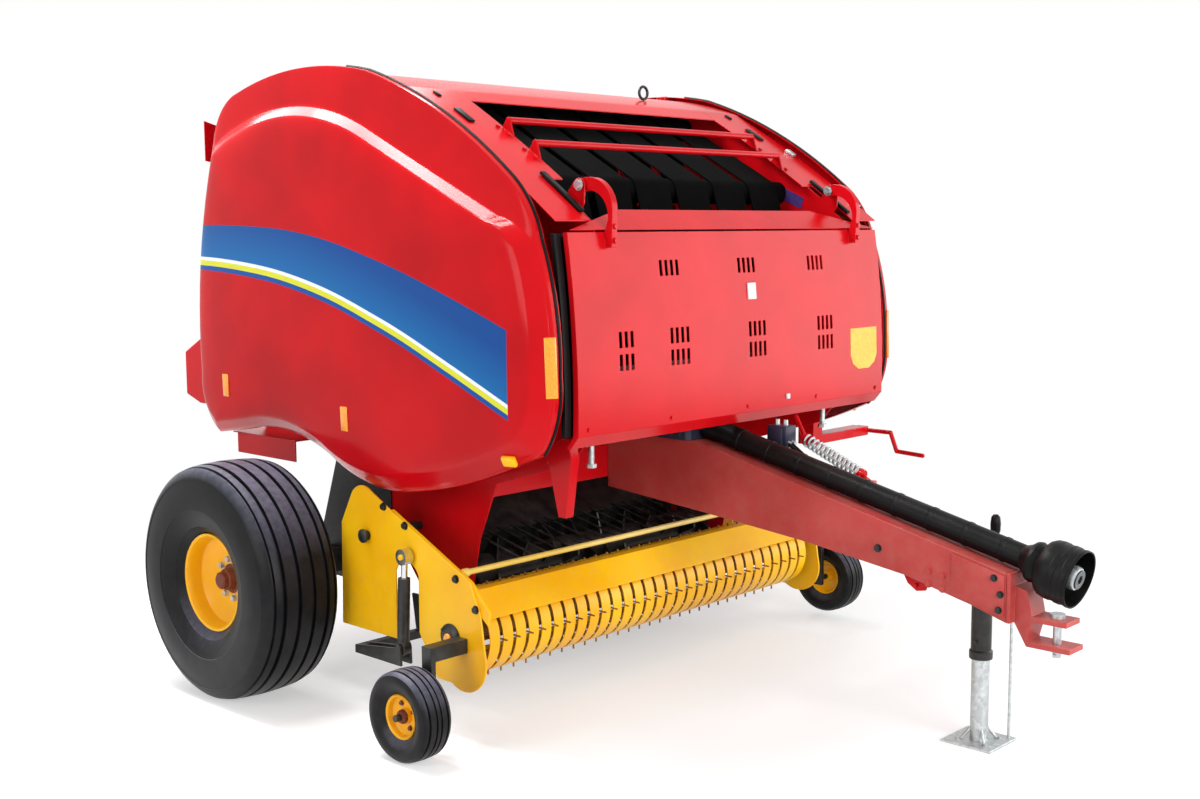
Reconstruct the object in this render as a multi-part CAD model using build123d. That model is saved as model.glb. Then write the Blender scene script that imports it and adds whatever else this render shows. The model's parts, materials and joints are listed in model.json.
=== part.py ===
from build123d import *
from math import atan2, cos, degrees, hypot, radians, sin, sqrt
import os

# Round baler, in millimetres. X points forward, Y to the machine's left and Z up.
# While it is drawn, X is counted from the wheel axle. The last lines then shift each
# piece, so that the origin lies on the ground under the middle of the machine's length.

# Clearances
SEAT_GAP = 0.3
PIN_GAP = 0.05
SPLIT_GAP = 12.0
RUN_GAP = 8.0
HINGE_GAP = 6.0
WHEEL_ROOM = 55.0
REACH = 5000.0

# Widths across the machine, counted from its middle. The bale chamber's side sheets set
# where the door, the shields, the pickup's sides and the wheels stand
SHEET_Y = 850.0
SHEET = 6.0
EAR_INNER_Y = SHEET_Y + SHEET / 2 + SEAT_GAP
DOOR_OVERHANG = 186.0
DOOR_HALF = SHEET_Y + DOOR_OVERHANG
CORNER_WIDTH = 41.0
CORNER_OUTER_Y = DOOR_HALF + CORNER_WIDTH
SHIELD_INNER_Y = CORNER_OUTER_Y + RUN_GAP
SHIELD_RIM_DEPTH = 47.0
SHIELD_RIM_Y = SHIELD_INNER_Y + SHIELD_RIM_DEPTH
SHIELD_BULGE = 63.0
SHIELD_FACE_Y = SHIELD_RIM_Y + SHIELD_BULGE
HINGE_SETBACK = 11.0
SHIELD_HINGE_Y = SHIELD_INNER_Y - HINGE_SETBACK
PICKUP_OVERHANG = 285.0
PICKUP_SIDE_Y = SHEET_Y + PICKUP_OVERHANG
PICKUP_SIDE = 10.0

# Main wheels
TYRE_RADIUS = 527.0
TYRE_WIDTH = 400.0
TYRE_SHOULDER = 78.0
RIM_RADIUS = 222.0
RIM_WALL = 9.0
RIM_LIP = 16.0
RIM_FLANGE_GAP = 5.0
BEAD_SHARE = 0.65
RIM_DISH_OFFSET = 65.0
HUB_RADIUS = 62.0
HUB_LENGTH = 130.0
TRACK_HALF = PICKUP_SIDE_Y + PICKUP_SIDE + WHEEL_ROOM + TYRE_WIDTH / 2
SPINDLE_RADIUS = 32.0
AXLE_SIZE = 110.0
AXLE_WALL = 8.0
AXLE_END_GAP = 40.0
HANGER_THICKNESS = 14.0
HANGER_HALF = 110.0
HANGER_DROP = 87.0
HANGER_RISE = 113.0
HANGER_TOP_Z = 1000.0
HANGER_FRONT_X = 420.0
HANGER_FRONT_LOW_Z = 800.0

# Gauge wheels beside the pickup
GAUGE_X = 1224.0
GAUGE_Y = PICKUP_SIDE_Y + 290
GAUGE_RADIUS = 183.0
GAUGE_WIDTH = 150.0
GAUGE_RIM_RADIUS = 88.0
GAUGE_SHOULDER = 30.0
GAUGE_LIP = 6.0
GAUGE_PIN_RADIUS = 14.0
GAUGE_LIFT_LEFT = 45.0

# Bale chamber
SHEET_FRONT_X = 1690.0
CHAMBER_X = 250.0
CHAMBER_Z = 1850.0
CHAMBER_RADIUS = 860.0
ROLLER_RADIUS = 92.0

# Top rails and roof
RAIL_OVERLAP = 50.0
RAIL_INNER_Y = SHEET_Y - RAIL_OVERLAP
RAIL_OUTER_Y = SHIELD_HINGE_Y
RAIL_THICKNESS = 6.0
RAIL_WEB_DEPTH = 55.0
RAIL_WEB = 11.0
RAIL_NOTCH_X = 1470.0
RAIL_NOTCH_Y = SHEET_Y + 35
ROOF_REAR_X = 330.0
ROOF_FRONT_X = 935.0
ROOF_SHEET = 5.0
TUBE_RADIUS = 14.0
TUBE_FOOT_HALF = 34.0
TUBE_FOOT_THICKNESS = 8.0
TUBE_PLACES = ((1165.0, 2505.0), (1320.0, 2408.0))
EYE_RING_X = 680.0
EYE_RING_Y = 560.0
EYE_RING_RADIUS = 30.0
EYE_BAR_RADIUS = 7.0

# Tailgate
PIVOT_X = 250.0
PIVOT_Z = 2615.0
PIVOT_PIN_RADIUS = 25.0
PIVOT_TUBE_RADIUS = 45.0
EAR_RADIUS = 62.0
EAR_THICKNESS = 12.0
SPLIT_BOTTOM_X = 40.0
TAIL_BOTTOM_Z = 1090.0
TAIL_SKIN = 4.0
TAIL_FRONT_X = 200.0
LAMP_BOX_REAR_X = -1000.0
LAMP_BOX_LENGTH = 240.0
LAMP_BOX_HEIGHT = 330.0
LAMP_BOX_Z = 1375.0
LAMP_BOX_WIDTH = 190.0
LAMP_BOX_CHAMFER = 78.0
LENS_SIZE = 84.0
LENS_DEPTH = 14.0
SKIRT_Y = SHEET_Y + 200
SKIRT_BOTTOM_Z = 1000.0
SKIRT_SHEET = 6.0
SKIRT_REAR_X = -560.0
SKIRT_LIP_REAR_X = -520.0
SKIRT_FRONT_X = -40.0
WRAP_END_X = -520.0
WRAP_END_Z = 1200.0
WING_X = -700.0
WING_Y = SHEET_Y + 210
WING_BOTTOM_Z = 2360.0
WING_TOP_Z = 2590.0

# Side shields
SHIELD_WALL = 5.0
SHIELD_MIDDLE_X = 543.0
SHIELD_MIDDLE_Z = 1872.0
SHIELD_HALF_LENGTH = 1203.0
SHIELD_HALF_HEIGHT = 892.0
SHIELD_HINGE_Z = 2755.0
SHIELD_HINGE_PLACES = (40.0, 360.0)
KNUCKLE_RADIUS = 9.0
KNUCKLE_LENGTH = 50.0
KNUCKLE_PIN_RADIUS = 5.0
KNUCKLE_EAR = 8.0
LEAF_DEPTH = 42.0

# Front door
DOOR_TOP_X = 1726.0
DOOR_TOP_Z = 2063.0
DOOR_MIDDLE_X = 1766.0
DOOR_MIDDLE_Z = 1720.0
DOOR_BOTTOM_X = 1778.0
DOOR_BOTTOM_Z = 1285.0
DOOR_SKIN = 4.0
DOOR_EDGE = 25.0
DOOR_HEAD_GAP = 9.0
DOOR_LIP_X = 1738.0
DOOR_LIP_Z = 1238.0
HEAD_TOP_X = 1622.0
HEAD_TOP_Z = 2142.0
HEAD_TOP_HALF = SHEET_Y - 200
HEAD_SIDE_GAP = 12.0
DOOR_HINGE_X = 1615.0
DOOR_HINGE_Z = 2235.0
DOOR_HINGE_BOSS = 26.0
DOOR_HINGE_PIN = 10.0
DOOR_ARM_INNER_Y = RAIL_INNER_Y + RUN_GAP
DOOR_ARM_WIDTH = 30.0
SLOT_WIDTH = 17.0
SLOT_HEIGHT = 62.0
SLOT_PITCH = 33.0

# Front corner panels between shield and door
CORNER_RIB_BACK = 30.0
CORNER_SHEET = 5.0
CORNER_TOP_Z = 2050.0
CORNER_BOTTOM_Z = 1285.0

# Tongue and hitch
TONGUE_HALF = 92.0
TONGUE_WALL = 8.0
TONGUE_TOP_Z = 1150.0
TONGUE_END_X = 3045.0
TONGUE_END_TOP_Z = 803.0
TONGUE_END_LOW_Z = 616.0
CROSS_BEAM_LENGTH = 109.0
CROSS_BEAM_HEIGHT = 150.0
CROSS_BEAM_Z = 1010.0
TONGUE_REAR_X = 1040.0
CLEVIS_PIN_X = 3205.0
CLEVIS_Z = 590.0
CLEVIS_GAP = 76.0
CLEVIS_PLATE = 20.0
CLEVIS_HALF = 55.0
CLEVIS_HOLE_RADIUS = 16.0
CLEVIS_END_PLATE = 16.0

# Driveline on the tongue
PTO_REAR_X = 1560.0
PTO_REAR_Z = 1205.0
PTO_FRONT_X = 3140.0
PTO_FRONT_Z = 835.0
PTO_TUBE_RADIUS = 46.0
PTO_TUBE_WALL = 5.0
PTO_BELL_RADIUS = 112.0
PTO_BELL_LENGTH = 190.0
PTO_SHAFT_RADIUS = 24.0
PTO_COUPLING_RADIUS = 36.0
PTO_COUPLING_LENGTH = 120.0
PTO_COUPLING_START = 30.0
PTO_BORE_RADIUS = 17.5
PTO_BORE_DEPTH = 80.0
PTO_YOKE_HALF = 44.0
PTO_BEARING = 30.0
GEARBOX_X = 1450.0
GEARBOX_LENGTH = 190.0
GEARBOX_WIDTH = 240.0
GEARBOX_HEIGHT = 128.0
GEARBOX_CHAMFER = 18.0
DRIVE_TUBE_RADIUS = 38.0

# Parking jack
JACK_X = 2752.0
JACK_Y = 272.0
JACK_TUBE_RADIUS = 41.0
JACK_TUBE_WALL = 5.0
JACK_TUBE_BOTTOM = 345.0
JACK_TUBE_TOP = 800.0
JACK_LEG_RADIUS = JACK_TUBE_RADIUS - JACK_TUBE_WALL - PIN_GAP
JACK_LEG_TOP = 535.0
JACK_BRACKET = 86.0
JACK_BRACKET_Z = 740.0
JACK_FOOT_HALF = 110.0
JACK_FOOT_THICKNESS = 10.0
JACK_ROD_OFFSET = 86.0
JACK_ROD_RADIUS = 6.0
JACK_ROD_TOP = 500.0
JACK_CAP_HEIGHT = 44.0
JACK_KNOB_X = -20.0
JACK_KNOB_Y = 130.0
JACK_KNOB_RADIUS = 16.0
JACK_KNOB_HEIGHT = 70.0

# Pickup
PICKUP_PIVOT_X = 612.0
PICKUP_PIVOT_Z = 765.0
PICKUP_PIN_RADIUS = 20.0
PICKUP_ARM_Y = PICKUP_SIDE_Y - 15
REEL_X = 1150.0
REEL_Z = 418.0
BAND_RADIUS = 168.0
BAND_SHEET = 4.0
BAND_COUNT = 30
BAND_WIDTH = 54.0
TINE_RADIUS = 200.0
TINE_THICKNESS = 6.0
TINE_BASE = 10.0
REEL_TUBE_RADIUS = 45.0
REEL_SHAFT_RADIUS = 20.0
REEL_BARS = 4
BAR_ORBIT = 110.0
BEAM_TOP_X = 1265.0
BEAM_TOP_Z = 622.0
BEAM_LOW_X = 1352.0
BEAM_LOW_Z = 522.0
BEAM_SHEET = 6.0
GUARD_ROD_X = 1200.0
GUARD_ROD_Z = 688.0
GUARD_ROD_RADIUS = 12.0
GUARD_TINES = 22
GUARD_TINE_PITCH = 74.0

# Feed rotor behind the pickup
ROTOR_X = 800.0
ROTOR_Z = 560.0
ROTOR_TUBE_RADIUS = 70.0
ROTOR_TINE_RADIUS = 165.0
ROTOR_STARS = 12
ROTOR_PITCH = 138.0
ROTOR_SHAFT_RADIUS = 25.0

# Hydraulic cylinders: foot and head eyes
EYE_RADIUS = 34.0
EYE_WIDTH = 40.0
EYE_PIN_RADIUS = 15.0
BOSS_RADIUS = 18.0
OPEN_PIN_RADIUS = 12.5
PIN_STUB = 6.0
TAIL_CYLINDER_Y = SHEET_Y + 55
TAIL_FOOT_X = 420.0
TAIL_FOOT_Z = 1400.0
TAIL_HEAD_X = 0.0
TAIL_HEAD_Z = 2500.0
TAIL_BARREL_RADIUS = 38.0
TAIL_ROD_RADIUS = 20.0
TAIL_BARREL_LENGTH = 960.0
LIFT_CYLINDER_Y = PICKUP_SIDE_Y + 41
LIFT_FOOT_X = 880.0
LIFT_FOOT_Z = 330.0
LIFT_HEAD_X = 900.0
LIFT_HEAD_Z = 720.0
LIFT_BAR_Z = 294.0
LIFT_BAR_HEIGHT = 36.0
LIFT_BAR_REAR_X = 590.0
LIFT_ARM_TOP_Z = 450.0
LIFT_BARREL_RADIUS = 26.0
LIFT_ROD_RADIUS = 14.0
LIFT_BARREL_LENGTH = 300.0
FORK_PLATE = 12.0

# Belts: a front loop round rollers on the frame and a rear loop round rollers in the tailgate
BELT_ROLLER_RADIUS = 55.0
BELT_THICKNESS = 7.0
BELT_COUNT = 6
BELT_WIDTH = 215.0
BELT_PITCH = 262.0
FRONT_BELT_ROLLERS = ((1480.0, 1560.0), (1290.0, 2230.0), (700.0, 2560.0))
REAR_BELT_ROLLERS = ((-640.0, 1420.0), (-120.0, 2560.0), (-560.0, 2380.0), (-780.0, 1820.0))

# Brackets under the door: a pointed one on the right, an outrigger with the crank on the left
OUTRIGGER_X = 1470.0
OUTRIGGER_Z = 1110.0
OUTRIGGER_WIDTH = 90.0
OUTRIGGER_END_Y = SHEET_Y + 480
OUTRIGGER_BAR = 44.0
OUTRIGGER_BAR_Z = 1042.0
OUTRIGGER_ROOT_Y = SHEET_Y + 80
OUTRIGGER_ROOT_HEIGHT = 180.0
CRANK_RADIUS = 11.0
CRANK_HUB = 24.0
POINTED_INNER_Y = SHEET_Y + 60
POINTED_OUTER_Y = POINTED_INNER_Y + 45

nodes = {}


def save(name, *solids):
    """Keep one node's solids, drawn with X counted from the axle."""
    nodes[name] = [single for solid in solids for single in solid.solids()]


def outline(start, *steps):
    """Closed face from a start point and steps: (x, z) is a straight run, and
    (via x, via z, x, z) is an arc through the first point to the second."""
    edges = []
    here = start
    for step in steps:
        there = (step[-2], step[-1])
        if len(step) == 4:
            edges.append(ThreePointArc(here, (step[0], step[1]), there))
        else:
            edges.append(Line(here, there))
        here = there
    if hypot(here[0] - start[0], here[1] - start[1]) > 1e-6:
        edges.append(Line(here, start))
    return make_face(Curve() + edges)


def across(face, y_from, y_to):
    """Extrude a side-view face from one Y to another."""
    low = min(y_from, y_to)
    high = max(y_from, y_to)
    return extrude(Plane.XZ.offset(-high) * face, high - low, dir=(0, -1, 0))


def at_y(face, y):
    """Side-view face placed in its own plane across the machine."""
    return Plane.XZ.offset(-y) * face


def rod_y(x, z, radius, y_from, y_to):
    """Round bar across the machine."""
    return across(Pos(x, z) * Circle(radius), y_from, y_to)


def rod_x(y, z, radius, x_from, x_to):
    """Round bar along the machine."""
    return Pos((x_from + x_to) / 2, y, z) * Rot(0, 90, 0) * Cylinder(radius, x_to - x_from)


def block(x_ends, y_ends, z_ends):
    """Straight block between two values of X, of Y and of Z."""
    ends = (x_ends, y_ends, z_ends)
    middle = [(low + high) / 2 for low, high in ends]
    size = [high - low for low, high in ends]
    return Pos(*middle) * Box(*size)


def arc_height(start, via, end, x):
    """Height at X of the upper arc through three points in side view."""
    (x1, z1), (x2, z2), (x3, z3) = start, via, end
    spread = 2 * (x1 * (z2 - z3) + x2 * (z3 - z1) + x3 * (z1 - z2))
    square1 = x1 * x1 + z1 * z1
    square2 = x2 * x2 + z2 * z2
    square3 = x3 * x3 + z3 * z3
    middle_x = (square1 * (z2 - z3) + square2 * (z3 - z1) + square3 * (z1 - z2)) / spread
    middle_z = (square1 * (x3 - x2) + square2 * (x1 - x3) + square3 * (x2 - x1)) / spread
    radius = hypot(x1 - middle_x, z1 - middle_z)
    return middle_z + sqrt(radius * radius - (x - middle_x) ** 2)


def rod_between(start, end, radius):
    """Round bar from one point to another."""
    line = Line(start, end)
    return sweep(Plane(origin=start, z_dir=line % 0) * Circle(radius), path=line)


def mirrored(solid):
    """The same piece on the other side of the machine."""
    return mirror(solid, about=Plane.XZ)


def both(solid):
    """A piece and its mirror copy as one list of solids."""
    return [solid, mirrored(solid)]


# Side outlines

# Side shield's rim, arc by arc. Columns: via X, via Z, end X, end Z, then how far the crease
# of the face lies below the rim at the via point and at the end
SHIELD_START = (-540.0, 1105.0)
SHIELD_ARCS = (
    (-625.0, 1180.0, -660.0, 1350.0, 0.0, 0.0),
    (-640.0, 1900.0, -500.0, 2520.0, 0.0, 0.0),
    (-430.0, 2625.0, -300.0, 2692.0, 58.0, 104.0),
    (150.0, 2765.0, 650.0, 2722.0, 158.0, 182.0),
    (1120.0, 2524.0, 1490.0, 2278.0, 156.0, 128.0),
    (1600.0, 2160.0, 1660.0, 2020.0, 84.0, 6.0),
    (1728.0, 1780.0, 1747.0, 1520.0, 0.0, 0.0),
    (1735.0, 1360.0, 1660.0, 1215.0, 0.0, 0.0),
    (1290.0, 1072.0, 880.0, 982.0, 0.0, 0.0),
    (600.0, 992.0, 340.0, 1085.0, 0.0, 0.0),
    (60.0, 1160.0, -300.0, 1140.0, 0.0, 0.0),
)


def drawn_in(x, z, inset, middle, halves):
    """Point moved towards a middle, by the inset at the outline's ends."""
    new_x = middle[0] + (x - middle[0]) * (1 - inset / halves[0])
    new_z = middle[1] + (z - middle[1]) * (1 - inset / halves[1])
    return (new_x, new_z)


def shield_face(share, inset):
    """Outline of the side shield at one Y: the share of the way from the rim down to the
    crease, drawn in by the inset."""
    middle = (SHIELD_MIDDLE_X, SHIELD_MIDDLE_Z)
    halves = (SHIELD_HALF_LENGTH, SHIELD_HALF_HEIGHT)
    steps = []
    for via_x, via_z, end_x, end_z, via_fall, end_fall in SHIELD_ARCS:
        via = drawn_in(via_x, via_z - via_fall * share, inset, middle, halves)
        end = drawn_in(end_x, end_z - end_fall * share, inset, middle, halves)
        steps.append((*via, *end))
    return outline(drawn_in(*SHIELD_START, inset, middle, halves), *steps)


def shield_solid(wall):
    """Bulged solid of one shield, smaller all round by a wall's thickness."""
    # Columns: Y, share of the way to the crease, inset
    sections = (
        (SHIELD_INNER_Y, 0.0, 0.0),
        (SHIELD_RIM_Y, 0.0, 0.0),
        (SHIELD_RIM_Y + 18, 0.05, 4.0),
        (SHIELD_RIM_Y + 32, 0.90, 11.0),
        (SHIELD_FACE_Y, 1.0, 34.0),
    )
    faces = [at_y(shield_face(share, inset + wall), y - wall) for y, share, inset in sections]
    return loft(faces, ruled=True)


def shield():
    """Left shield: a bulged shell, open inward, with two hinge leaves under its top."""
    outer = shield_solid(0.0)
    shell = outer - shield_solid(SHIELD_WALL)
    rim_top = [(SHIELD_ARCS[2][2], SHIELD_ARCS[2][3]), SHIELD_ARCS[3][0:2], SHIELD_ARCS[3][2:4]]
    for x in SHIELD_HINGE_PLACES:
        half = KNUCKLE_LENGTH / 2
        notch_half = half + KNUCKLE_EAR + HINGE_GAP
        notch_y = SHIELD_HINGE_Y + KNUCKLE_RADIUS + HINGE_GAP
        shell -= block((x - notch_half, x + notch_half), (SHIELD_HINGE_Y, notch_y), (PIVOT_Z, REACH))
        top = arc_height(*rim_top, x)
        leaf_low = SHIELD_HINGE_Z - KNUCKLE_RADIUS
        leaf_ends = (SHIELD_HINGE_Y, SHIELD_INNER_Y + LEAF_DEPTH)
        leaf = block((x - half, x + half), leaf_ends, (leaf_low, top - 1))
        leaf += rod_x(SHIELD_HINGE_Y, SHIELD_HINGE_Z, KNUCKLE_RADIUS, x - half, x + half)
        pin_hole = KNUCKLE_PIN_RADIUS + PIN_GAP
        leaf -= rod_x(SHIELD_HINGE_Y, SHIELD_HINGE_Z, pin_hole, x - REACH, x + REACH)
        shell += leaf
    return shell


RAIL_PATH = ((-60.0, 2722.0), (420.0, 2738.0), (860.0, 2640.0), (1340.0, 2350.0), (1700.0, 2100.0))


def rail_arcs(drop):
    """Two arcs along the top rail, lowered by a distance."""
    points = [(x, z - drop) for x, z in RAIL_PATH]
    return [ThreePointArc(points[0], points[1], points[2]), ThreePointArc(points[2], points[3], points[4])]


def band_face(depth):
    """Face between the rail's arcs and the same arcs one depth lower."""
    top = rail_arcs(0.0)
    low = rail_arcs(depth)
    front = Line(RAIL_PATH[-1], (RAIL_PATH[-1][0], RAIL_PATH[-1][1] - depth))
    rear = Line((RAIL_PATH[0][0], RAIL_PATH[0][1] - depth), RAIL_PATH[0])
    return make_face(Curve() + [*top, front, *low, rear])


def above_rail(drop):
    """Face of everything above the rail's arcs lowered by a distance."""
    low = rail_arcs(drop)
    rear = RAIL_PATH[0]
    front = RAIL_PATH[-1]
    edges = [
        *low,
        Line((front[0], front[1] - drop), (front[0], 3300)),
        Line((front[0], 3300), (rear[0], 3300)),
        Line((rear[0], 3300), (rear[0], rear[1] - drop)),
    ]
    return make_face(Curve() + edges)


def frame_sheet_face():
    """Front half of the chamber's side: its rear edge is the split line."""
    return outline(
        (ROOF_REAR_X, 2800),
        (900, 2800),
        (1670, 2125),
        (SHEET_FRONT_X, 2100),
        (SHEET_FRONT_X, 1290),
        (1560, 1140),
        (1120, 1010),
        (1010, 760),
        (930, 410),
        (690, 390),
        (500, 620),
        (430, 800),
        (SPLIT_BOTTOM_X + 20, 800),
        (SPLIT_BOTTOM_X + SPLIT_GAP, TAIL_BOTTOM_Z),
        (PIVOT_X + SPLIT_GAP, PIVOT_Z - 200),
        (PIVOT_X + EAR_RADIUS, PIVOT_Z - 70),
        (PIVOT_X + EAR_RADIUS, PIVOT_Z + 30),
        (ROOF_REAR_X, PIVOT_Z + 60),
    )


def tail_sheet_face(inset):
    """Rear half of the chamber's side, drawn in by the inset."""
    middle = (PIVOT_X - 500, PIVOT_Z - 700)
    halves = (700.0, 810.0)

    def moved(*numbers):
        """Step with each of its points drawn in."""
        pairs = [drawn_in(x, z, inset, middle, halves) for x, z in zip(numbers[::2], numbers[1::2])]
        return tuple(value for pair in pairs for value in pair)

    return outline(
        moved(PIVOT_X, PIVOT_Z - 200),
        moved(SPLIT_BOTTOM_X, TAIL_BOTTOM_Z),
        moved(-560, TAIL_BOTTOM_Z),
        moved(-860, 1420),
        moved(-950, 1900, -780, 2360),
        moved(-640, 2600, -420, 2695),
        moved(-140, 2735, TAIL_FRONT_X, 2714),
        moved(PIVOT_X, PIVOT_Z + 40),
    )


# Door head, the fixed sheet over the door, lies in its own sloping plane
head_rise = HEAD_TOP_Z - DOOR_TOP_Z
head_run = DOOR_TOP_X - HEAD_TOP_X
head_slope = hypot(head_run, head_rise)
head_plane = Plane(origin=(DOOR_TOP_X, 0, DOOR_TOP_Z), x_dir=(0, 1, 0), z_dir=(head_rise, 0, head_run))
head_half = DOOR_HALF - HEAD_SIDE_GAP
head_shape = Polygon(
    (-head_half, 0), (head_half, 0), (HEAD_TOP_HALF, head_slope), (-HEAD_TOP_HALF, head_slope), align=None
)
save("door_head", extrude(head_plane * head_shape, -DOOR_SKIN))
over_head = extrude(head_plane.offset(-DOOR_SKIN - SEAT_GAP) * Rectangle(REACH, 2 * head_slope), REACH / 10)

# Chamber frame
side_sheet = across(frame_sheet_face(), SHEET_Y - SHEET / 2, SHEET_Y + SHEET / 2)
side_sheet -= across(above_rail(RAIL_THICKNESS + SEAT_GAP), SHEET_Y - 50, SHEET_Y + 50)
side_sheet -= over_head
side_sheet -= rod_y(ROTOR_X, ROTOR_Z, ROTOR_SHAFT_RADIUS + PIN_GAP, SHEET_Y - 50, SHEET_Y + 50)
door_ear = across(
    outline(
        (RAIL_NOTCH_X + 30, HEAD_TOP_Z + 8),
        (DOOR_HINGE_X - 30, DOOR_HINGE_Z + 16),
        (DOOR_HINGE_X, DOOR_HINGE_Z + DOOR_HINGE_BOSS, DOOR_HINGE_X + DOOR_HINGE_BOSS, DOOR_HINGE_Z),
        (DOOR_HINGE_X + 20, HEAD_TOP_Z - 20),
        (RAIL_NOTCH_X + 60, HEAD_TOP_Z - 40),
    ),
    SHEET_Y - SHEET / 2,
    SHEET_Y + SHEET / 2,
)
door_pin = rod_y(DOOR_HINGE_X, DOOR_HINGE_Z, DOOR_HINGE_PIN, DOOR_ARM_INNER_Y - 4, SHEET_Y + SHEET / 2 + 6)
save("frame_side_sheets", *both(side_sheet + (door_ear - over_head) + door_pin))

# Top rails with the shields' hinge ears and the feet of the cross tubes
rail_top = across(band_face(RAIL_THICKNESS), RAIL_INNER_Y, RAIL_OUTER_Y)
rail_top += across(band_face(RAIL_WEB_DEPTH), EAR_INNER_Y, EAR_INNER_Y + RAIL_WEB)
rail_top -= block((RAIL_NOTCH_X, REACH), (0, RAIL_NOTCH_Y), (0, REACH))
for foot_x, foot_z in TUBE_PLACES:
    rear_z = arc_height(*RAIL_PATH[2:5], foot_x - TUBE_FOOT_HALF) - RAIL_THICKNESS / 2
    front_z = arc_height(*RAIL_PATH[2:5], foot_x + TUBE_FOOT_HALF) - RAIL_THICKNESS / 2
    foot = across(
        outline(
            (foot_x - TUBE_FOOT_HALF, rear_z),
            (foot_x - TUBE_RADIUS, foot_z),
            (foot_x, foot_z + TUBE_RADIUS, foot_x + TUBE_RADIUS, foot_z),
            (foot_x + TUBE_FOOT_HALF, front_z),
        ),
        RAIL_INNER_Y,
        RAIL_INNER_Y + TUBE_FOOT_THICKNESS,
    )
    rail_top += foot
rail = rail_top & block((ROOF_REAR_X, REACH), (0, REACH), (0, REACH))
ear_rail_z = arc_height(*RAIL_PATH[0:3], SHIELD_HINGE_PLACES[0]) - RAIL_THICKNESS
ear_profile = Polygon(
    (RAIL_OUTER_Y - 34, ear_rail_z),
    (RAIL_OUTER_Y, ear_rail_z),
    (SHIELD_HINGE_Y + KNUCKLE_RADIUS - 1, SHIELD_HINGE_Z - 4),
    (SHIELD_HINGE_Y + KNUCKLE_RADIUS - 1, SHIELD_HINGE_Z + 5),
    (SHIELD_HINGE_Y - KNUCKLE_RADIUS, SHIELD_HINGE_Z + 8),
    align=None,
)
hinge_bridge = block(
    (SHIELD_HINGE_PLACES[0] - 60, ROOF_REAR_X + 60),
    (RAIL_OUTER_Y - 40, RAIL_OUTER_Y),
    (ear_rail_z, ear_rail_z + RAIL_THICKNESS),
)
rail += hinge_bridge
for hinge_x in SHIELD_HINGE_PLACES:
    ear_start = KNUCKLE_LENGTH / 2 + SEAT_GAP
    for side_start in (hinge_x - ear_start - KNUCKLE_EAR, hinge_x + ear_start):
        rail += extrude(Plane.YZ.offset(side_start) * ear_profile, KNUCKLE_EAR)
    pin_half = ear_start + KNUCKLE_EAR
    pin_ends = (hinge_x - pin_half, hinge_x + pin_half)
    rail += rod_x(SHIELD_HINGE_Y, SHIELD_HINGE_Z, KNUCKLE_PIN_RADIUS, *pin_ends)
save("top_rails", *both(rail))

roof = across(band_face(ROOF_SHEET), -RAIL_INNER_Y + SEAT_GAP, RAIL_INNER_Y - SEAT_GAP)
save("roof_panel", roof & block((ROOF_REAR_X, ROOF_FRONT_X), (-REACH, REACH), (0, REACH)))
eye_z = arc_height(*RAIL_PATH[0:3], EYE_RING_X) + EYE_RING_RADIUS + EYE_BAR_RADIUS + SEAT_GAP
lifting_ring = Rot(0, 90, 0) * Torus(EYE_RING_RADIUS, EYE_BAR_RADIUS)
save("lifting_eye", Pos(EYE_RING_X, EYE_RING_Y, eye_z) * lifting_ring)

tube_end = RAIL_INNER_Y - SEAT_GAP
save("cross_tubes", *[rod_y(x, z, TUBE_RADIUS, -tube_end, tube_end) for x, z in TUBE_PLACES])

# Front door: a bulged skin with side returns and a lower lip, hung on two curved arms
door_top_z = DOOR_TOP_Z - DOOR_HEAD_GAP
door_block = across(
    outline(
        (DOOR_TOP_X, door_top_z),
        (DOOR_MIDDLE_X, DOOR_MIDDLE_Z, DOOR_BOTTOM_X, DOOR_BOTTOM_Z),
        (DOOR_LIP_X, DOOR_LIP_Z),
        (DOOR_LIP_X - DOOR_EDGE, DOOR_LIP_Z),
        (DOOR_BOTTOM_X - DOOR_EDGE - DOOR_SKIN, DOOR_BOTTOM_Z),
        (DOOR_MIDDLE_X - DOOR_EDGE, DOOR_MIDDLE_Z, DOOR_TOP_X - DOOR_EDGE, door_top_z),
    ),
    -DOOR_HALF,
    DOOR_HALF,
)
door_room = across(
    outline(
        (DOOR_TOP_X - DOOR_SKIN, REACH),
        (DOOR_TOP_X - DOOR_SKIN, door_top_z),
        (
            DOOR_MIDDLE_X - DOOR_SKIN,
            DOOR_MIDDLE_Z,
            DOOR_BOTTOM_X - DOOR_SKIN,
            DOOR_BOTTOM_Z + DOOR_SKIN / 2,
        ),
        (DOOR_LIP_X, DOOR_LIP_Z + DOOR_SKIN),
        (DOOR_LIP_X - 4 * DOOR_EDGE, DOOR_LIP_Z + DOOR_SKIN),
        (DOOR_LIP_X - 4 * DOOR_EDGE, REACH),
    ),
    -DOOR_HALF + DOOR_SKIN,
    DOOR_HALF - DOOR_SKIN,
)
# Slot groups in the door: Y of the group's middle, Z of the slots, width of the group
SLOT_GROUPS = (
    (-480.0, 1910.0, 132.0),
    (20.0, 1910.0, 132.0),
    (520.0, 1910.0, 132.0),
    (-760.0, 1640.0, 99.0),
    (-440.0, 1640.0, 132.0),
    (70.0, 1640.0, 132.0),
    (570.0, 1640.0, 132.0),
    (-760.0, 1552.0, 99.0),
    (-440.0, 1552.0, 132.0),
    (70.0, 1552.0, 132.0),
    (570.0, 1552.0, 132.0),
)
slots = []
for group_y, group_z, group_width in SLOT_GROUPS:
    count = round(group_width / SLOT_PITCH)
    for index in range(count):
        slot_y = group_y + (index - (count - 1) / 2) * SLOT_PITCH
        slot = Box(8 * DOOR_EDGE, SLOT_WIDTH, SLOT_HEIGHT)
        slots.append(Pos(DOOR_BOTTOM_X, slot_y, group_z) * slot)
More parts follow.
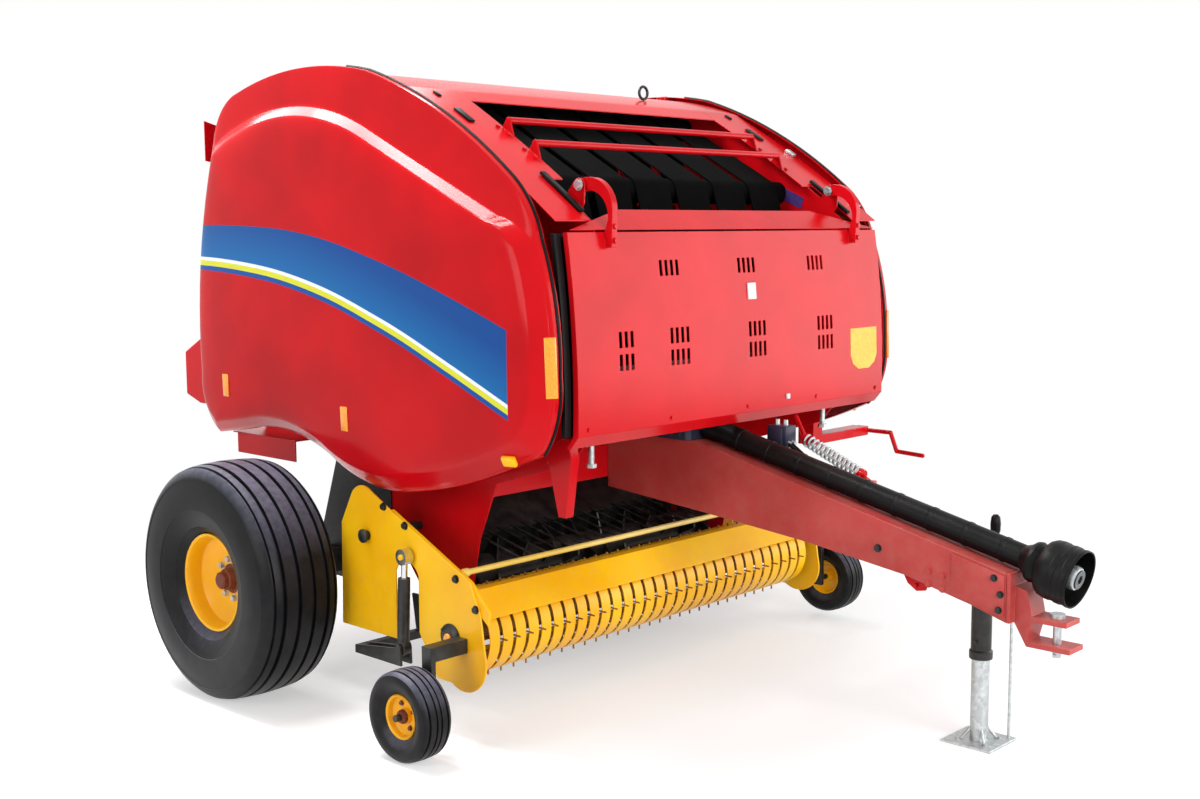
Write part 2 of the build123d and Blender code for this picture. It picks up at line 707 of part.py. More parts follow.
arm_face = outline(
    (DOOR_HINGE_X, DOOR_HINGE_Z + DOOR_HINGE_BOSS),
    (1725, 2236, 1772, 2130),
    (1768, 1995),
    (1733, 1995),
    (DOOR_TOP_X + 2, door_top_z - 2),
    (1748, 2100),
    (1708, 2192, 1630, 2212),
)
arm_face += Pos(DOOR_HINGE_X, DOOR_HINGE_Z) * Circle(DOOR_HINGE_BOSS)
arm_face -= Pos(DOOR_HINGE_X, DOOR_HINGE_Z) * Circle(DOOR_HINGE_PIN + PIN_GAP)
door_arm = across(arm_face, DOOR_ARM_INNER_Y, DOOR_ARM_INNER_Y + DOOR_ARM_WIDTH)
save("front_door", (door_block - door_room - slots) + door_arm + mirrored(door_arm))

# Corner panels, the dark strips between shield and door


def corner_strip(front_back, depth):
    """Side view of an upright strip that follows the door, its front a distance behind the
    door's skin."""
    top_x = DOOR_TOP_X - front_back
    middle_x = DOOR_MIDDLE_X - front_back
    low_x = DOOR_BOTTOM_X - front_back
    return outline(
        (top_x, CORNER_TOP_Z),
        (middle_x, DOOR_MIDDLE_Z, low_x, CORNER_BOTTOM_Z),
        (low_x - depth, CORNER_BOTTOM_Z),
        (middle_x - depth, DOOR_MIDDLE_Z, top_x - depth, CORNER_TOP_Z),
    )


corner_back = DOOR_EDGE + 12 + RUN_GAP
corner = across(corner_strip(corner_back, CORNER_SHEET), EAR_INNER_Y, CORNER_OUTER_Y)
rib_depth = corner_back - CORNER_RIB_BACK + CORNER_SHEET
corner_rib = across(corner_strip(CORNER_RIB_BACK, rib_depth), DOOR_HALF + RUN_GAP, CORNER_OUTER_Y)
save("corner_panels", *both(corner + corner_rib))

# Side shields
shield_left = shield()
save("side_shield_left", shield_left)
save("side_shield_right", mirrored(shield_left))

# Tailgate
pivot_hole = rod_y(PIVOT_X, PIVOT_Z, PIVOT_PIN_RADIUS + PIN_GAP, SHEET_Y - 60, SHEET_Y + 60)
tail_sheet = across(tail_sheet_face(0.0), SHEET_Y - SHEET / 2, SHEET_Y + SHEET / 2)
ear_face = outline(
    (PIVOT_X, PIVOT_Z + EAR_RADIUS),
    (PIVOT_X + EAR_RADIUS, PIVOT_Z, PIVOT_X, PIVOT_Z - EAR_RADIUS),
    (PIVOT_X - 200, PIVOT_Z - 160),
    (PIVOT_X - 300, PIVOT_Z),
)
ear = across(ear_face, EAR_INNER_Y, EAR_INNER_Y + EAR_THICKNESS)
ear_spacer = block(
    (PIVOT_X - 210, PIVOT_X - 110), (SHEET_Y, EAR_INNER_Y + EAR_THICKNESS), (PIVOT_Z - 55, PIVOT_Z + 25)
)
tail_side = tail_sheet + ear_spacer + ear - pivot_hole
cylinder_inner_y = TAIL_CYLINDER_Y - EYE_WIDTH / 2
tail_side += rod_y(TAIL_HEAD_X, TAIL_HEAD_Z, BOSS_RADIUS, SHEET_Y, cylinder_inner_y - RUN_GAP)
skirt_top_z = TAIL_BOTTOM_Z + SKIRT_SHEET + 4
skirt_ends = (SKIRT_REAR_X, SKIRT_FRONT_X)
skirt_lip_ends = (SKIRT_LIP_REAR_X, SKIRT_FRONT_X)
tail_side += block(skirt_ends, (SHEET_Y, SKIRT_Y), (skirt_top_z - SKIRT_SHEET, skirt_top_z))
tail_side += block(skirt_lip_ends, (SKIRT_Y - SKIRT_SHEET, SKIRT_Y), (SKIRT_BOTTOM_Z, skirt_top_z))
wing_face = Polygon(
    (SHEET_Y, WING_BOTTOM_Z),
    (SHEET_Y, WING_TOP_Z - 60),
    (WING_Y, WING_TOP_Z),
    (WING_Y, WING_BOTTOM_Z + 40),
    align=None,
)
tail_side += extrude(Plane.YZ.offset(WING_X) * wing_face, SKIRT_SHEET)
wrap_room_low = TAIL_BOTTOM_Z - 190
wrap_room = outline(
    (WRAP_END_X, wrap_room_low),
    (REACH, wrap_room_low),
    (REACH, REACH),
    (TAIL_FRONT_X, REACH),
    (TAIL_FRONT_X, PIVOT_Z + 25),
    (WRAP_END_X, WRAP_END_Z),
)
tail_wrap = across(tail_sheet_face(0.0) - tail_sheet_face(TAIL_SKIN) - wrap_room, -SHEET_Y, SHEET_Y)
save("tailgate_shell", tail_side + mirrored(tail_side) + tail_wrap)

# Lamp boxes on the tailgate's sides, with two lenses each on their rear faces
lamp_box_rear = LAMP_BOX_REAR_X + LENS_DEPTH
lamp_box_low = LAMP_BOX_Z - LAMP_BOX_HEIGHT / 2
lamp_box_high = LAMP_BOX_Z + LAMP_BOX_HEIGHT / 2
lamp_box = across(
    outline(
        (lamp_box_rear, lamp_box_low + LAMP_BOX_CHAMFER / 2),
        (lamp_box_rear, lamp_box_high - LAMP_BOX_CHAMFER),
        (lamp_box_rear + 2 * LAMP_BOX_CHAMFER, lamp_box_high),
        (lamp_box_rear + LAMP_BOX_LENGTH, lamp_box_high),
        (lamp_box_rear + LAMP_BOX_LENGTH, lamp_box_low),
        (lamp_box_rear + 1.6 * LAMP_BOX_CHAMFER, lamp_box_low),
    ),
    EAR_INNER_Y,
    EAR_INNER_Y + LAMP_BOX_WIDTH,
)
save("lamp_boxes", *both(lamp_box))
lenses = []
for row in (-1, 1):
    lens_z = LAMP_BOX_Z - LAMP_BOX_CHAMFER / 4 + row * (LENS_SIZE / 2 + RUN_GAP)
    lens_y = EAR_INNER_Y + LAMP_BOX_WIDTH / 2
    lens_x = lamp_box_rear - SEAT_GAP - LENS_DEPTH / 2
    lenses += both(Pos(lens_x, lens_y, lens_z) * Box(LENS_DEPTH, LENS_SIZE * 1.5, LENS_SIZE))
save("lamp_lenses", *lenses)

# Frame pivot pins for the tailgate
pivot_tube_end = SHEET_Y - SHEET / 2 - SEAT_GAP
pivot_shaft = rod_y(PIVOT_X, PIVOT_Z, PIVOT_TUBE_RADIUS, -pivot_tube_end, pivot_tube_end)
pin_end = EAR_INNER_Y + EAR_THICKNESS + PIN_STUB
pivot_shaft += rod_y(PIVOT_X, PIVOT_Z, PIVOT_PIN_RADIUS, -pin_end, pin_end)
pivot_arm = across(
    outline(
        (PIVOT_X, PIVOT_Z - 30),
        (PIVOT_X, PIVOT_Z + 30),
        (PIVOT_X + 160, PIVOT_Z + 30),
        (PIVOT_X + 160, PIVOT_Z - 60),
    ),
    SHEET_Y - 40,
    pivot_tube_end,
)
foot_boss = rod_y(TAIL_FOOT_X, TAIL_FOOT_Z, BOSS_RADIUS, EAR_INNER_Y, cylinder_inner_y - SEAT_GAP)
foot_pin_end = TAIL_CYLINDER_Y + EYE_WIDTH / 2 + PIN_STUB
foot_boss += rod_y(TAIL_FOOT_X, TAIL_FOOT_Z, EYE_PIN_RADIUS, EAR_INNER_Y, foot_pin_end)
save("tailgate_pivots", pivot_shaft + pivot_arm + mirrored(pivot_arm), *both(foot_boss))

# Axle
axle_end = TRACK_HALF - TYRE_WIDTH / 2 - AXLE_END_GAP
axle_room = AXLE_SIZE - 2 * AXLE_WALL
axle_beam = Pos(0, 0, TYRE_RADIUS) * Box(AXLE_SIZE, 2 * axle_end, AXLE_SIZE)
axle_beam -= Pos(0, 0, TYRE_RADIUS) * Box(axle_room, 2 * (axle_end - 4 * AXLE_WALL), axle_room)
spindle = rod_y(0, TYRE_RADIUS, SPINDLE_RADIUS, axle_end - 2 * AXLE_WALL, TRACK_HALF + HUB_LENGTH / 2)
hanger = across(
    outline(
        (-HANGER_HALF, TYRE_RADIUS - HANGER_DROP),
        (-HANGER_HALF, TYRE_RADIUS + HANGER_RISE),
        (20, HANGER_TOP_Z),
        (HANGER_FRONT_X, HANGER_TOP_Z),
        (HANGER_FRONT_X, HANGER_FRONT_LOW_Z),
        (HANGER_HALF, TYRE_RADIUS - HANGER_DROP),
    ),
    EAR_INNER_Y,
    EAR_INNER_Y + HANGER_THICKNESS,
)
hanger -= Pos(0, 0, TYRE_RADIUS) * Box(AXLE_SIZE + 2 * SEAT_GAP, REACH, AXLE_SIZE + 2 * SEAT_GAP)
save("axle", axle_beam + spindle + mirrored(spindle), *both(hanger))


def tyre(radius, width, rim, shoulder, lip):
    """Tyre about the Y axis at the origin, with its bore on the rim."""
    half = width / 2
    bead = half * BEAD_SHARE
    side_points = [
        (rim, bead),
        (rim + lip, bead),
        (rim + (radius - rim) * 0.45, half),
        (radius - shoulder * 0.6, half * 0.9),
        (radius, half * 0.5),
    ]
    other_side = [(x, -y) for x, y in reversed(side_points)]
    return revolve(Polygon(*side_points, *other_side, align=None), Axis.Y)


main_tyre = tyre(TYRE_RADIUS, TYRE_WIDTH, RIM_RADIUS - RIM_LIP, TYRE_SHOULDER, RIM_LIP)


def rim_solid():
    """Dished rim about the Y axis, outside face towards +Y."""
    bead = TYRE_WIDTH / 2 * BEAD_SHARE
    bore = RIM_RADIUS - RIM_LIP - SEAT_GAP
    flange = bead + SEAT_GAP
    lip = RIM_RADIUS - RIM_FLANGE_GAP
    well = bore - RIM_WALL
    disc = RIM_WALL + 3
    profile = Polygon(
        (bore, -flange),
        (bore, flange),
        (lip, flange),
        (lip, flange + RIM_WALL),
        (well, flange + RIM_WALL),
        (well, RIM_DISH_OFFSET),
        (HUB_RADIUS, disc),
        (HUB_RADIUS, HUB_LENGTH / 2 + 20),
        (SPINDLE_RADIUS + PIN_GAP, HUB_LENGTH / 2 + 20),
        (SPINDLE_RADIUS + PIN_GAP, -HUB_LENGTH / 2),
        (HUB_RADIUS, -HUB_LENGTH / 2),
        (HUB_RADIUS, 0),
        (well, RIM_DISH_OFFSET - 3 * disc),
        (well, -flange - RIM_WALL),
        (lip, -flange - RIM_WALL),
        (lip, -flange),
        align=None,
    )
    return revolve(profile, Axis.Y)


rim = rim_solid()
wheel_left = Location((0, TRACK_HALF, TYRE_RADIUS))
save("tyre_left", main_tyre.moved(wheel_left))
save("rim_left", rim.moved(wheel_left))
save("tyre_right", mirrored(main_tyre.moved(wheel_left)))
save("rim_right", mirrored(rim.moved(wheel_left)))

# Tongue: upper edge from rear to front, then lower edge from front to rear
TONGUE_UPPER = (
    (TONGUE_REAR_X, 1130),
    (1300, TONGUE_TOP_Z),
    (1570, TONGUE_TOP_Z),
    (2200, 1002),
    (2670, 893),
    (TONGUE_END_X, TONGUE_END_TOP_Z),
)
TONGUE_LOWER = (
    (TONGUE_END_X, TONGUE_END_LOW_Z),
    (2900, 660),
    (2610, 728),
    (2150, 790),
    (1600, 842),
    (TONGUE_REAR_X, 890),
)


def tongue_side(inset):
    """Side view of the tongue, drawn in by the inset."""
    upper = [(x, z - inset) for x, z in TONGUE_UPPER]
    lower = [(x, z + inset) for x, z in TONGUE_LOWER]
    return Polygon(*upper, *lower, align=None)


tongue = across(tongue_side(0.0), -TONGUE_HALF, TONGUE_HALF)
tongue -= across(tongue_side(TONGUE_WALL), -TONGUE_HALF + TONGUE_WALL, TONGUE_HALF - TONGUE_WALL)
save("tongue", tongue)

cross_beam_y = SHEET_Y - SHEET / 2 - SEAT_GAP
cross_beam_middle = Pos(TONGUE_REAR_X - CROSS_BEAM_LENGTH / 2 - SEAT_GAP, 0, CROSS_BEAM_Z)
cross_beam = cross_beam_middle * Box(CROSS_BEAM_LENGTH, 2 * cross_beam_y, CROSS_BEAM_HEIGHT)
cross_beam -= cross_beam_middle * Box(
    CROSS_BEAM_LENGTH - 2 * TONGUE_WALL, REACH, CROSS_BEAM_HEIGHT - 2 * TONGUE_WALL
)
save("cross_beam", cross_beam)

clevis_block_rear = TONGUE_END_X + SEAT_GAP
clevis_face = outline(
    (clevis_block_rear, 640),
    (clevis_block_rear, 760),
    (3110, 740),
    (3130, CLEVIS_Z + CLEVIS_GAP / 2 + CLEVIS_PLATE),
    (CLEVIS_PIN_X + 60, CLEVIS_Z + CLEVIS_GAP / 2 + CLEVIS_PLATE),
    (CLEVIS_PIN_X + 60, CLEVIS_Z + CLEVIS_GAP / 2),
    (3130, CLEVIS_Z + CLEVIS_GAP / 2),
    (3110, CLEVIS_Z - CLEVIS_GAP / 2),
    (CLEVIS_PIN_X + 75, CLEVIS_Z - CLEVIS_GAP / 2),
    (CLEVIS_PIN_X + 75, CLEVIS_Z - CLEVIS_GAP / 2 - CLEVIS_PLATE),
    (3110, CLEVIS_Z - CLEVIS_GAP / 2 - CLEVIS_PLATE),
)
clevis = across(clevis_face, -CLEVIS_HALF, CLEVIS_HALF)
clevis += block(
    (clevis_block_rear, clevis_block_rear + CLEVIS_END_PLATE),
    (-TONGUE_HALF, TONGUE_HALF),
    (TONGUE_END_LOW_Z, TONGUE_END_TOP_Z),
)
clevis -= Pos(CLEVIS_PIN_X, 0, CLEVIS_Z) * Cylinder(CLEVIS_HOLE_RADIUS, 400)
save("hitch_clevis", clevis)

# Driveline
pto_angle = degrees(atan2(PTO_REAR_Z - PTO_FRONT_Z, PTO_FRONT_X - PTO_REAR_X))
pto_length = hypot(PTO_REAR_Z - PTO_FRONT_Z, PTO_FRONT_X - PTO_REAR_X)
pto_place = Location((PTO_REAR_X, 0, PTO_REAR_Z)) * Location((0, 0, 0), (0, 90 + pto_angle, 0))
front_bearing = pto_length - PTO_TUBE_RADIUS
guard_profile = Polygon(
    (PTO_SHAFT_RADIUS + PIN_GAP, 0),
    (PTO_SHAFT_RADIUS + PIN_GAP, PTO_BEARING),
    (PTO_TUBE_RADIUS - PTO_TUBE_WALL, PTO_BEARING),
    (PTO_TUBE_RADIUS - PTO_TUBE_WALL, front_bearing - PTO_BEARING),
    (PTO_SHAFT_RADIUS + PIN_GAP, front_bearing - PTO_BEARING),
    (PTO_SHAFT_RADIUS + PIN_GAP, front_bearing),
    (PTO_TUBE_RADIUS - PTO_TUBE_WALL, front_bearing),
    (PTO_BELL_RADIUS - 6, pto_length + 20),
    (PTO_BELL_RADIUS - 6, pto_length + PTO_BELL_LENGTH - 40),
    (PTO_BELL_RADIUS, pto_length + PTO_BELL_LENGTH - 40),
    (PTO_BELL_RADIUS, pto_length + 14),
    (PTO_TUBE_RADIUS, pto_length - 46),
    (PTO_TUBE_RADIUS, 0),
    align=None,
)
guard = revolve(Plane.XZ * guard_profile, Axis.Z)
save("pto_guard", guard.moved(pto_place))
shaft_end = pto_length + PTO_COUPLING_START + PTO_COUPLING_LENGTH
shaft = Pos(0, 0, shaft_end / 2 - 40) * Cylinder(PTO_SHAFT_RADIUS, shaft_end)
coupling_middle = pto_length + PTO_COUPLING_START + PTO_COUPLING_LENGTH / 2
shaft += Pos(0, 0, coupling_middle) * Cylinder(PTO_COUPLING_RADIUS, PTO_COUPLING_LENGTH)
shaft += Pos(0, 0, pto_length + PTO_COUPLING_START) * Box(2 * PTO_YOKE_HALF, PTO_YOKE_HALF, PTO_YOKE_HALF)
shaft -= Pos(0, 0, shaft_end - PTO_BORE_DEPTH / 2) * Cylinder(PTO_BORE_RADIUS, PTO_BORE_DEPTH)
save("pto_shaft", shaft.moved(pto_place))
gearbox_z = TONGUE_TOP_Z + SEAT_GAP + GEARBOX_HEIGHT / 2
gearbox_body = Box(GEARBOX_LENGTH, GEARBOX_WIDTH, GEARBOX_HEIGHT)
gearbox_body = chamfer(gearbox_body.edges().filter_by(Axis.Z), GEARBOX_CHAMFER)
gearbox_body = chamfer(gearbox_body.faces().sort_by(Axis.Z)[-1].edges(), GEARBOX_CHAMFER / 2)
gearbox = Pos(GEARBOX_X, 0, gearbox_z) * gearbox_body
gearbox -= (Pos(0, 0, -30) * Cylinder(PTO_SHAFT_RADIUS + PIN_GAP, 100)).moved(pto_place)
save("gearbox", gearbox)
drive_start = GEARBOX_WIDTH / 2 + SEAT_GAP
drive_end = SHEET_Y - SHEET / 2 - SEAT_GAP
save("drive_tube", rod_y(GEARBOX_X, gearbox_z, DRIVE_TUBE_RADIUS, drive_start, drive_end))

# Parking jack
jack_tube = Pos(JACK_X, JACK_Y, (JACK_TUBE_BOTTOM + JACK_TUBE_TOP) / 2) * (
    Cylinder(JACK_TUBE_RADIUS, JACK_TUBE_TOP - JACK_TUBE_BOTTOM)
    - Cylinder(JACK_TUBE_RADIUS - JACK_TUBE_WALL, JACK_TUBE_TOP - JACK_TUBE_BOTTOM)
)
jack_bracket = block(
    (JACK_X - JACK_BRACKET / 2, JACK_X + JACK_BRACKET / 2),
    (TONGUE_HALF + SEAT_GAP, JACK_Y - JACK_TUBE_RADIUS + JACK_TUBE_WALL / 2),
    (JACK_BRACKET_Z - JACK_BRACKET / 2, JACK_BRACKET_Z + JACK_BRACKET / 2),
)
save("jack_tube", jack_tube + jack_bracket)
jack_leg = Pos(JACK_X, JACK_Y, (JACK_FOOT_THICKNESS + JACK_LEG_TOP) / 2) * Cylinder(
    JACK_LEG_RADIUS, JACK_LEG_TOP - JACK_FOOT_THICKNESS
)
jack_foot = Pos(JACK_X, JACK_Y, JACK_FOOT_THICKNESS / 2) * Box(
    2 * JACK_FOOT_HALF, 2 * JACK_FOOT_HALF, JACK_FOOT_THICKNESS
)
jack_rod_middle = (JACK_FOOT_THICKNESS + JACK_ROD_TOP) / 2
jack_rod = Pos(JACK_X + JACK_ROD_OFFSET, JACK_Y + JACK_ROD_OFFSET, jack_rod_middle) * Cylinder(
    JACK_ROD_RADIUS, JACK_ROD_TOP - JACK_FOOT_THICKNESS
)
save("jack_leg", jack_leg + jack_foot + jack_rod)

# Pickup
pickup_side_face = outline(
    (430, 800),
    (500, 925),
    (545, 970, 640, 960),
    (760, 900),
    (1270, 668),
    (REEL_X + 180, REEL_Z + 120),
    (REEL_X + 205, REEL_Z - 40),
    (REEL_X + 150, REEL_Z - 190, REEL_X, REEL_Z - 190),
    (REEL_X - 90, REEL_Z - 190),
    (950, 400),
    (950, 640),
    (875, 690, 800, 640),
    (800, 345),
    (420, 345),
)
side_plate = across(pickup_side_face, PICKUP_SIDE_Y, PICKUP_SIDE_Y + PICKUP_SIDE)
side_plate -= rod_y(PICKUP_PIVOT_X, PICKUP_PIVOT_Z, PICKUP_PIN_RADIUS + PIN_GAP, 0, REACH)
side_plate -= rod_y(REEL_X, REEL_Z, REEL_SHAFT_RADIUS + PIN_GAP, 0, REACH)
lift_pin_end = LIFT_CYLINDER_Y + EYE_WIDTH / 2 + PIN_STUB
lift_pin = rod_y(LIFT_HEAD_X, LIFT_HEAD_Z, OPEN_PIN_RADIUS, PICKUP_SIDE_Y, lift_pin_end)
save("pickup_sides", side_plate, mirrored(side_plate + lift_pin))

pickup_pin_end = PICKUP_SIDE_Y + PICKUP_SIDE + PICKUP_PIN_RADIUS
pickup_pin = rod_y(PICKUP_PIVOT_X, PICKUP_PIVOT_Z, PICKUP_PIN_RADIUS, EAR_INNER_Y, pickup_pin_end)
lift_bar_low = LIFT_BAR_Z - LIFT_BAR_HEIGHT
lift_arm = across(
    outline(
        (LIFT_BAR_REAR_X - 30, LIFT_ARM_TOP_Z),
        (LIFT_BAR_REAR_X + 90, LIFT_ARM_TOP_Z),
        (LIFT_BAR_REAR_X + 40, lift_bar_low),
        (LIFT_BAR_REAR_X, lift_bar_low),
    ),
    EAR_INNER_Y,
    EAR_INNER_Y + HANGER_THICKNESS,
)
fork_middle = EYE_WIDTH / 2 + SEAT_GAP + FORK_PLATE / 2
lift_bar_end = LIFT_CYLINDER_Y + fork_middle + FORK_PLATE / 2
lift_bar_ends = (LIFT_BAR_REAR_X, LIFT_BAR_REAR_X + 40)
lift_arm += block(lift_bar_ends, (EAR_INNER_Y, lift_bar_end), (lift_bar_low, LIFT_BAR_Z))
for fork_y in (LIFT_CYLINDER_Y - fork_middle, LIFT_CYLINDER_Y + fork_middle):
    lift_arm += across(
        outline(
            (LIFT_BAR_REAR_X, lift_bar_low),
            (LIFT_BAR_REAR_X, LIFT_BAR_Z),
            (LIFT_FOOT_X - BOSS_RADIUS, LIFT_FOOT_Z),
            (LIFT_FOOT_X, LIFT_FOOT_Z + BOSS_RADIUS, LIFT_FOOT_X + BOSS_RADIUS, LIFT_FOOT_Z),
            (LIFT_FOOT_X + 20, lift_bar_low),
        ),
        fork_y - FORK_PLATE / 2,
        fork_y + FORK_PLATE / 2,
    )
fork_pin_ends = (LIFT_CYLINDER_Y - fork_middle, LIFT_CYLINDER_Y + fork_middle)
lift_arm += rod_y(LIFT_FOOT_X, LIFT_FOOT_Z, EYE_PIN_RADIUS, *fork_pin_ends)
save("pickup_pivots", *both(pickup_pin), mirrored(lift_arm))

side_inner = PICKUP_SIDE_Y - SEAT_GAP
beam_dx = (BEAM_TOP_Z - BEAM_LOW_Z) / hypot(BEAM_LOW_X - BEAM_TOP_X, BEAM_TOP_Z - BEAM_LOW_Z) * BEAM_SHEET
beam_dz = (BEAM_LOW_X - BEAM_TOP_X) / hypot(BEAM_LOW_X - BEAM_TOP_X, BEAM_TOP_Z - BEAM_LOW_Z) * BEAM_SHEET
beam_face = outline(
    (BEAM_TOP_X, BEAM_TOP_Z),
    (BEAM_LOW_X, BEAM_LOW_Z),
    (BEAM_LOW_X + beam_dx, BEAM_LOW_Z + beam_dz),
    (BEAM_TOP_X + beam_dx, BEAM_TOP_Z + BEAM_SHEET),
    (BEAM_TOP_X - 40, BEAM_TOP_Z + BEAM_SHEET),
    (BEAM_TOP_X - 40, BEAM_TOP_Z),
)
beam = across(beam_face, -PICKUP_ARM_Y - SEAT_GAP, PICKUP_ARM_Y + SEAT_GAP)
arm_shape = outline(
    (700, 880),
    (770, 895),
    (1268, 664),
    (1372, 560),
    (1366, 500),
    (1290, 560),
    (1200, 630),
    (760, 800),
)
beam += across(arm_shape, PICKUP_ARM_Y, side_inner)
beam += across(arm_shape, -side_inner, -PICKUP_ARM_Y)
save("pickup_beam", beam)

band_pitch = 2 * (PICKUP_SIDE_Y - 45) / BAND_COUNT
band_inner = BAND_RADIUS - BAND_SHEET
band_face_side = outline(
    (REEL_X - 120, REEL_Z + BAND_RADIUS - 14),
    (REEL_X, REEL_Z + BAND_RADIUS),
    (REEL_X + BAND_RADIUS, REEL_Z, REEL_X, REEL_Z - BAND_RADIUS),
    (REEL_X - 120, REEL_Z - BAND_RADIUS + 24),
    (REEL_X - 120, REEL_Z - BAND_RADIUS + 24 + BAND_SHEET),
    (REEL_X, REEL_Z - band_inner),
    (REEL_X + band_inner, REEL_Z, REEL_X, REEL_Z + band_inner),
    (REEL_X - 120, REEL_Z + band_inner - 14),
)
bands = []
for index in range(BAND_COUNT):
    middle = (index - (BAND_COUNT - 1) / 2) * band_pitch
    bands.append(across(band_face_side, middle - BAND_WIDTH / 2, middle + BAND_WIDTH / 2))
band_rail = Pos(REEL_X - 128, 0, REEL_Z - BAND_RADIUS + 28) * Box(16, 2 * side_inner, 30)
save("pickup_bands", band_rail + bands)

# Reel: shaft, end stars, four bars and their combs of tines between the bands
reel_shaft = rod_y(REEL_X, REEL_Z, REEL_SHAFT_RADIUS, -PICKUP_SIDE_Y - 8, PICKUP_SIDE_Y + 8)
reel_tube = rod_y(REEL_X, REEL_Z, REEL_TUBE_RADIUS, -PICKUP_SIDE_Y + RUN_GAP, PICKUP_SIDE_Y - RUN_GAP)
reel = reel_shaft + reel_tube
comb_half = PICKUP_SIDE_Y - 2 * RUN_GAP
comb_points = [(-comb_half, BAR_ORBIT - 14), (comb_half, BAR_ORBIT - 14), (comb_half, BAR_ORBIT + 14)]
for index in range(BAND_COUNT - 1, 0, -1):
    middle = (index - BAND_COUNT / 2) * band_pitch
    comb_points.append((middle + TINE_BASE / 2, BAR_ORBIT + 14))
    comb_points.append((middle + TINE_THICKNESS / 2, TINE_RADIUS))
    comb_points.append((middle - TINE_THICKNESS / 2, TINE_RADIUS))
    comb_points.append((middle - TINE_BASE / 2, BAR_ORBIT + 14))
comb_points.append((-comb_half, BAR_ORBIT + 14))
comb = extrude(Plane.YZ * Polygon(*comb_points, align=None), TINE_THICKNESS / 2, both=True)
star_face = Rectangle(2 * BAR_ORBIT, 40) + Rectangle(40, 2 * BAR_ORBIT)
star = across(star_face, comb_half - 6, comb_half)
star += mirrored(star)
spinner = star
for index in range(REEL_BARS):
    spinner += Rot(0, index * 360 / REEL_BARS, 0) * comb
reel += spinner.moved(Location((REEL_X, 0, REEL_Z)))
save("pickup_reel", reel)

guard_end = PICKUP_ARM_Y - SEAT_GAP
guard_rod = rod_y(GUARD_ROD_X, GUARD_ROD_Z, GUARD_ROD_RADIUS, -guard_end, guard_end)
guard_tines = []
for index in range(GUARD_TINES):
    middle = (index - (GUARD_TINES - 1) / 2) * GUARD_TINE_PITCH
    tine_start = (GUARD_ROD_X, middle, GUARD_ROD_Z)
    guard_tines.append(rod_between(tine_start, (GUARD_ROD_X - 330, middle, GUARD_ROD_Z + 70), 5))
save("windguard", guard_rod + guard_tines)

# Feed rotor: shaft, tube and stars of tines
rotor_shaft = rod_y(ROTOR_X, ROTOR_Z, ROTOR_SHAFT_RADIUS, -SHEET_Y - 30, SHEET_Y + 30)
rotor_half = SHEET_Y - SHEET / 2 - RUN_GAP
rotor = rotor_shaft + rod_y(ROTOR_X, ROTOR_Z, ROTOR_TUBE_RADIUS, -rotor_half, rotor_half)
for index in range(ROTOR_STARS):
    middle = (index - (ROTOR_STARS - 1) / 2) * ROTOR_PITCH
    tooth = Polygon((-60, 0), (60, 0), (14, ROTOR_TINE_RADIUS), (-14, ROTOR_TINE_RADIUS), align=None)
    stars = across(tooth, middle - 5, middle + 5)
    stars += across(Rot(0, 0, 120) * tooth, middle - 5, middle + 5)
    stars += across(Rot(0, 0, 240) * tooth, middle - 5, middle + 5)
    rotor += (Rot(0, index * 20, 0) * stars).moved(Location((ROTOR_X, 0, ROTOR_Z)))
save("feed_rotor", rotor)

# Chamber rollers: angle round the chamber in degrees from straight ahead
ROLLER_ANGLES = (-92.0, -62.0, -41.0, -20.0)
roller_orbit = CHAMBER_RADIUS + ROLLER_RADIUS + 5
rollers = []
journal_end = rotor_half + RUN_GAP - SEAT_GAP
for angle in ROLLER_ANGLES:
    roller_x = CHAMBER_X + roller_orbit * cos(radians(angle))
    roller_z = CHAMBER_Z + roller_orbit * sin(radians(angle))
    roller = rod_y(roller_x, roller_z, ROLLER_RADIUS, -rotor_half, rotor_half)
    rollers.append(roller + rod_y(roller_x, roller_z, ROTOR_SHAFT_RADIUS, -journal_end, journal_end))
save("chamber_rollers", *rollers)

# Gauge wheels, their arms and pins
gauge_tyre = tyre(GAUGE_RADIUS, GAUGE_WIDTH, GAUGE_RIM_RADIUS, GAUGE_SHOULDER, GAUGE_LIP)
gauge_rim = rod_y(0, 0, GAUGE_RIM_RADIUS - SEAT_GAP, -GAUGE_WIDTH * 0.3, GAUGE_WIDTH * 0.3)
gauge_rim -= rod_y(0, 0, GAUGE_PIN_RADIUS + PIN_GAP, -GAUGE_WIDTH, GAUGE_WIDTH)
arm_y = PICKUP_SIDE_Y + PICKUP_SIDE + SEAT_GAP
arms = []
for side, sign, lift in (("left", 1, GAUGE_LIFT_LEFT), ("right", -1, 0.0)):
    wheel_z = GAUGE_RADIUS + lift
    place = Location((GAUGE_X, sign * GAUGE_Y, wheel_z))
    save("gauge_tyre_" + side, gauge_tyre.moved(place))
    save("gauge_rim_" + side, gauge_rim.moved(place))
    post_y = GAUGE_Y - GAUGE_WIDTH / 2 - 26
    gauge_arm = Pos(GAUGE_X, post_y, wheel_z + 110) * Box(60, 24, 280)
    gauge_arm += Pos(GAUGE_X, (arm_y + post_y) / 2, wheel_z + 220) * Box(60, post_y - arm_y + 24, 60)
    gauge_arm += rod_y(GAUGE_X, wheel_z, GAUGE_PIN_RADIUS, post_y, GAUGE_Y + GAUGE_WIDTH / 2)
    gauge_arm &= block((0, REACH), (arm_y, REACH), (0, REACH))
    arms.append(gauge_arm if sign == 1 else mirrored(gauge_arm))
save("gauge_arms", *arms)


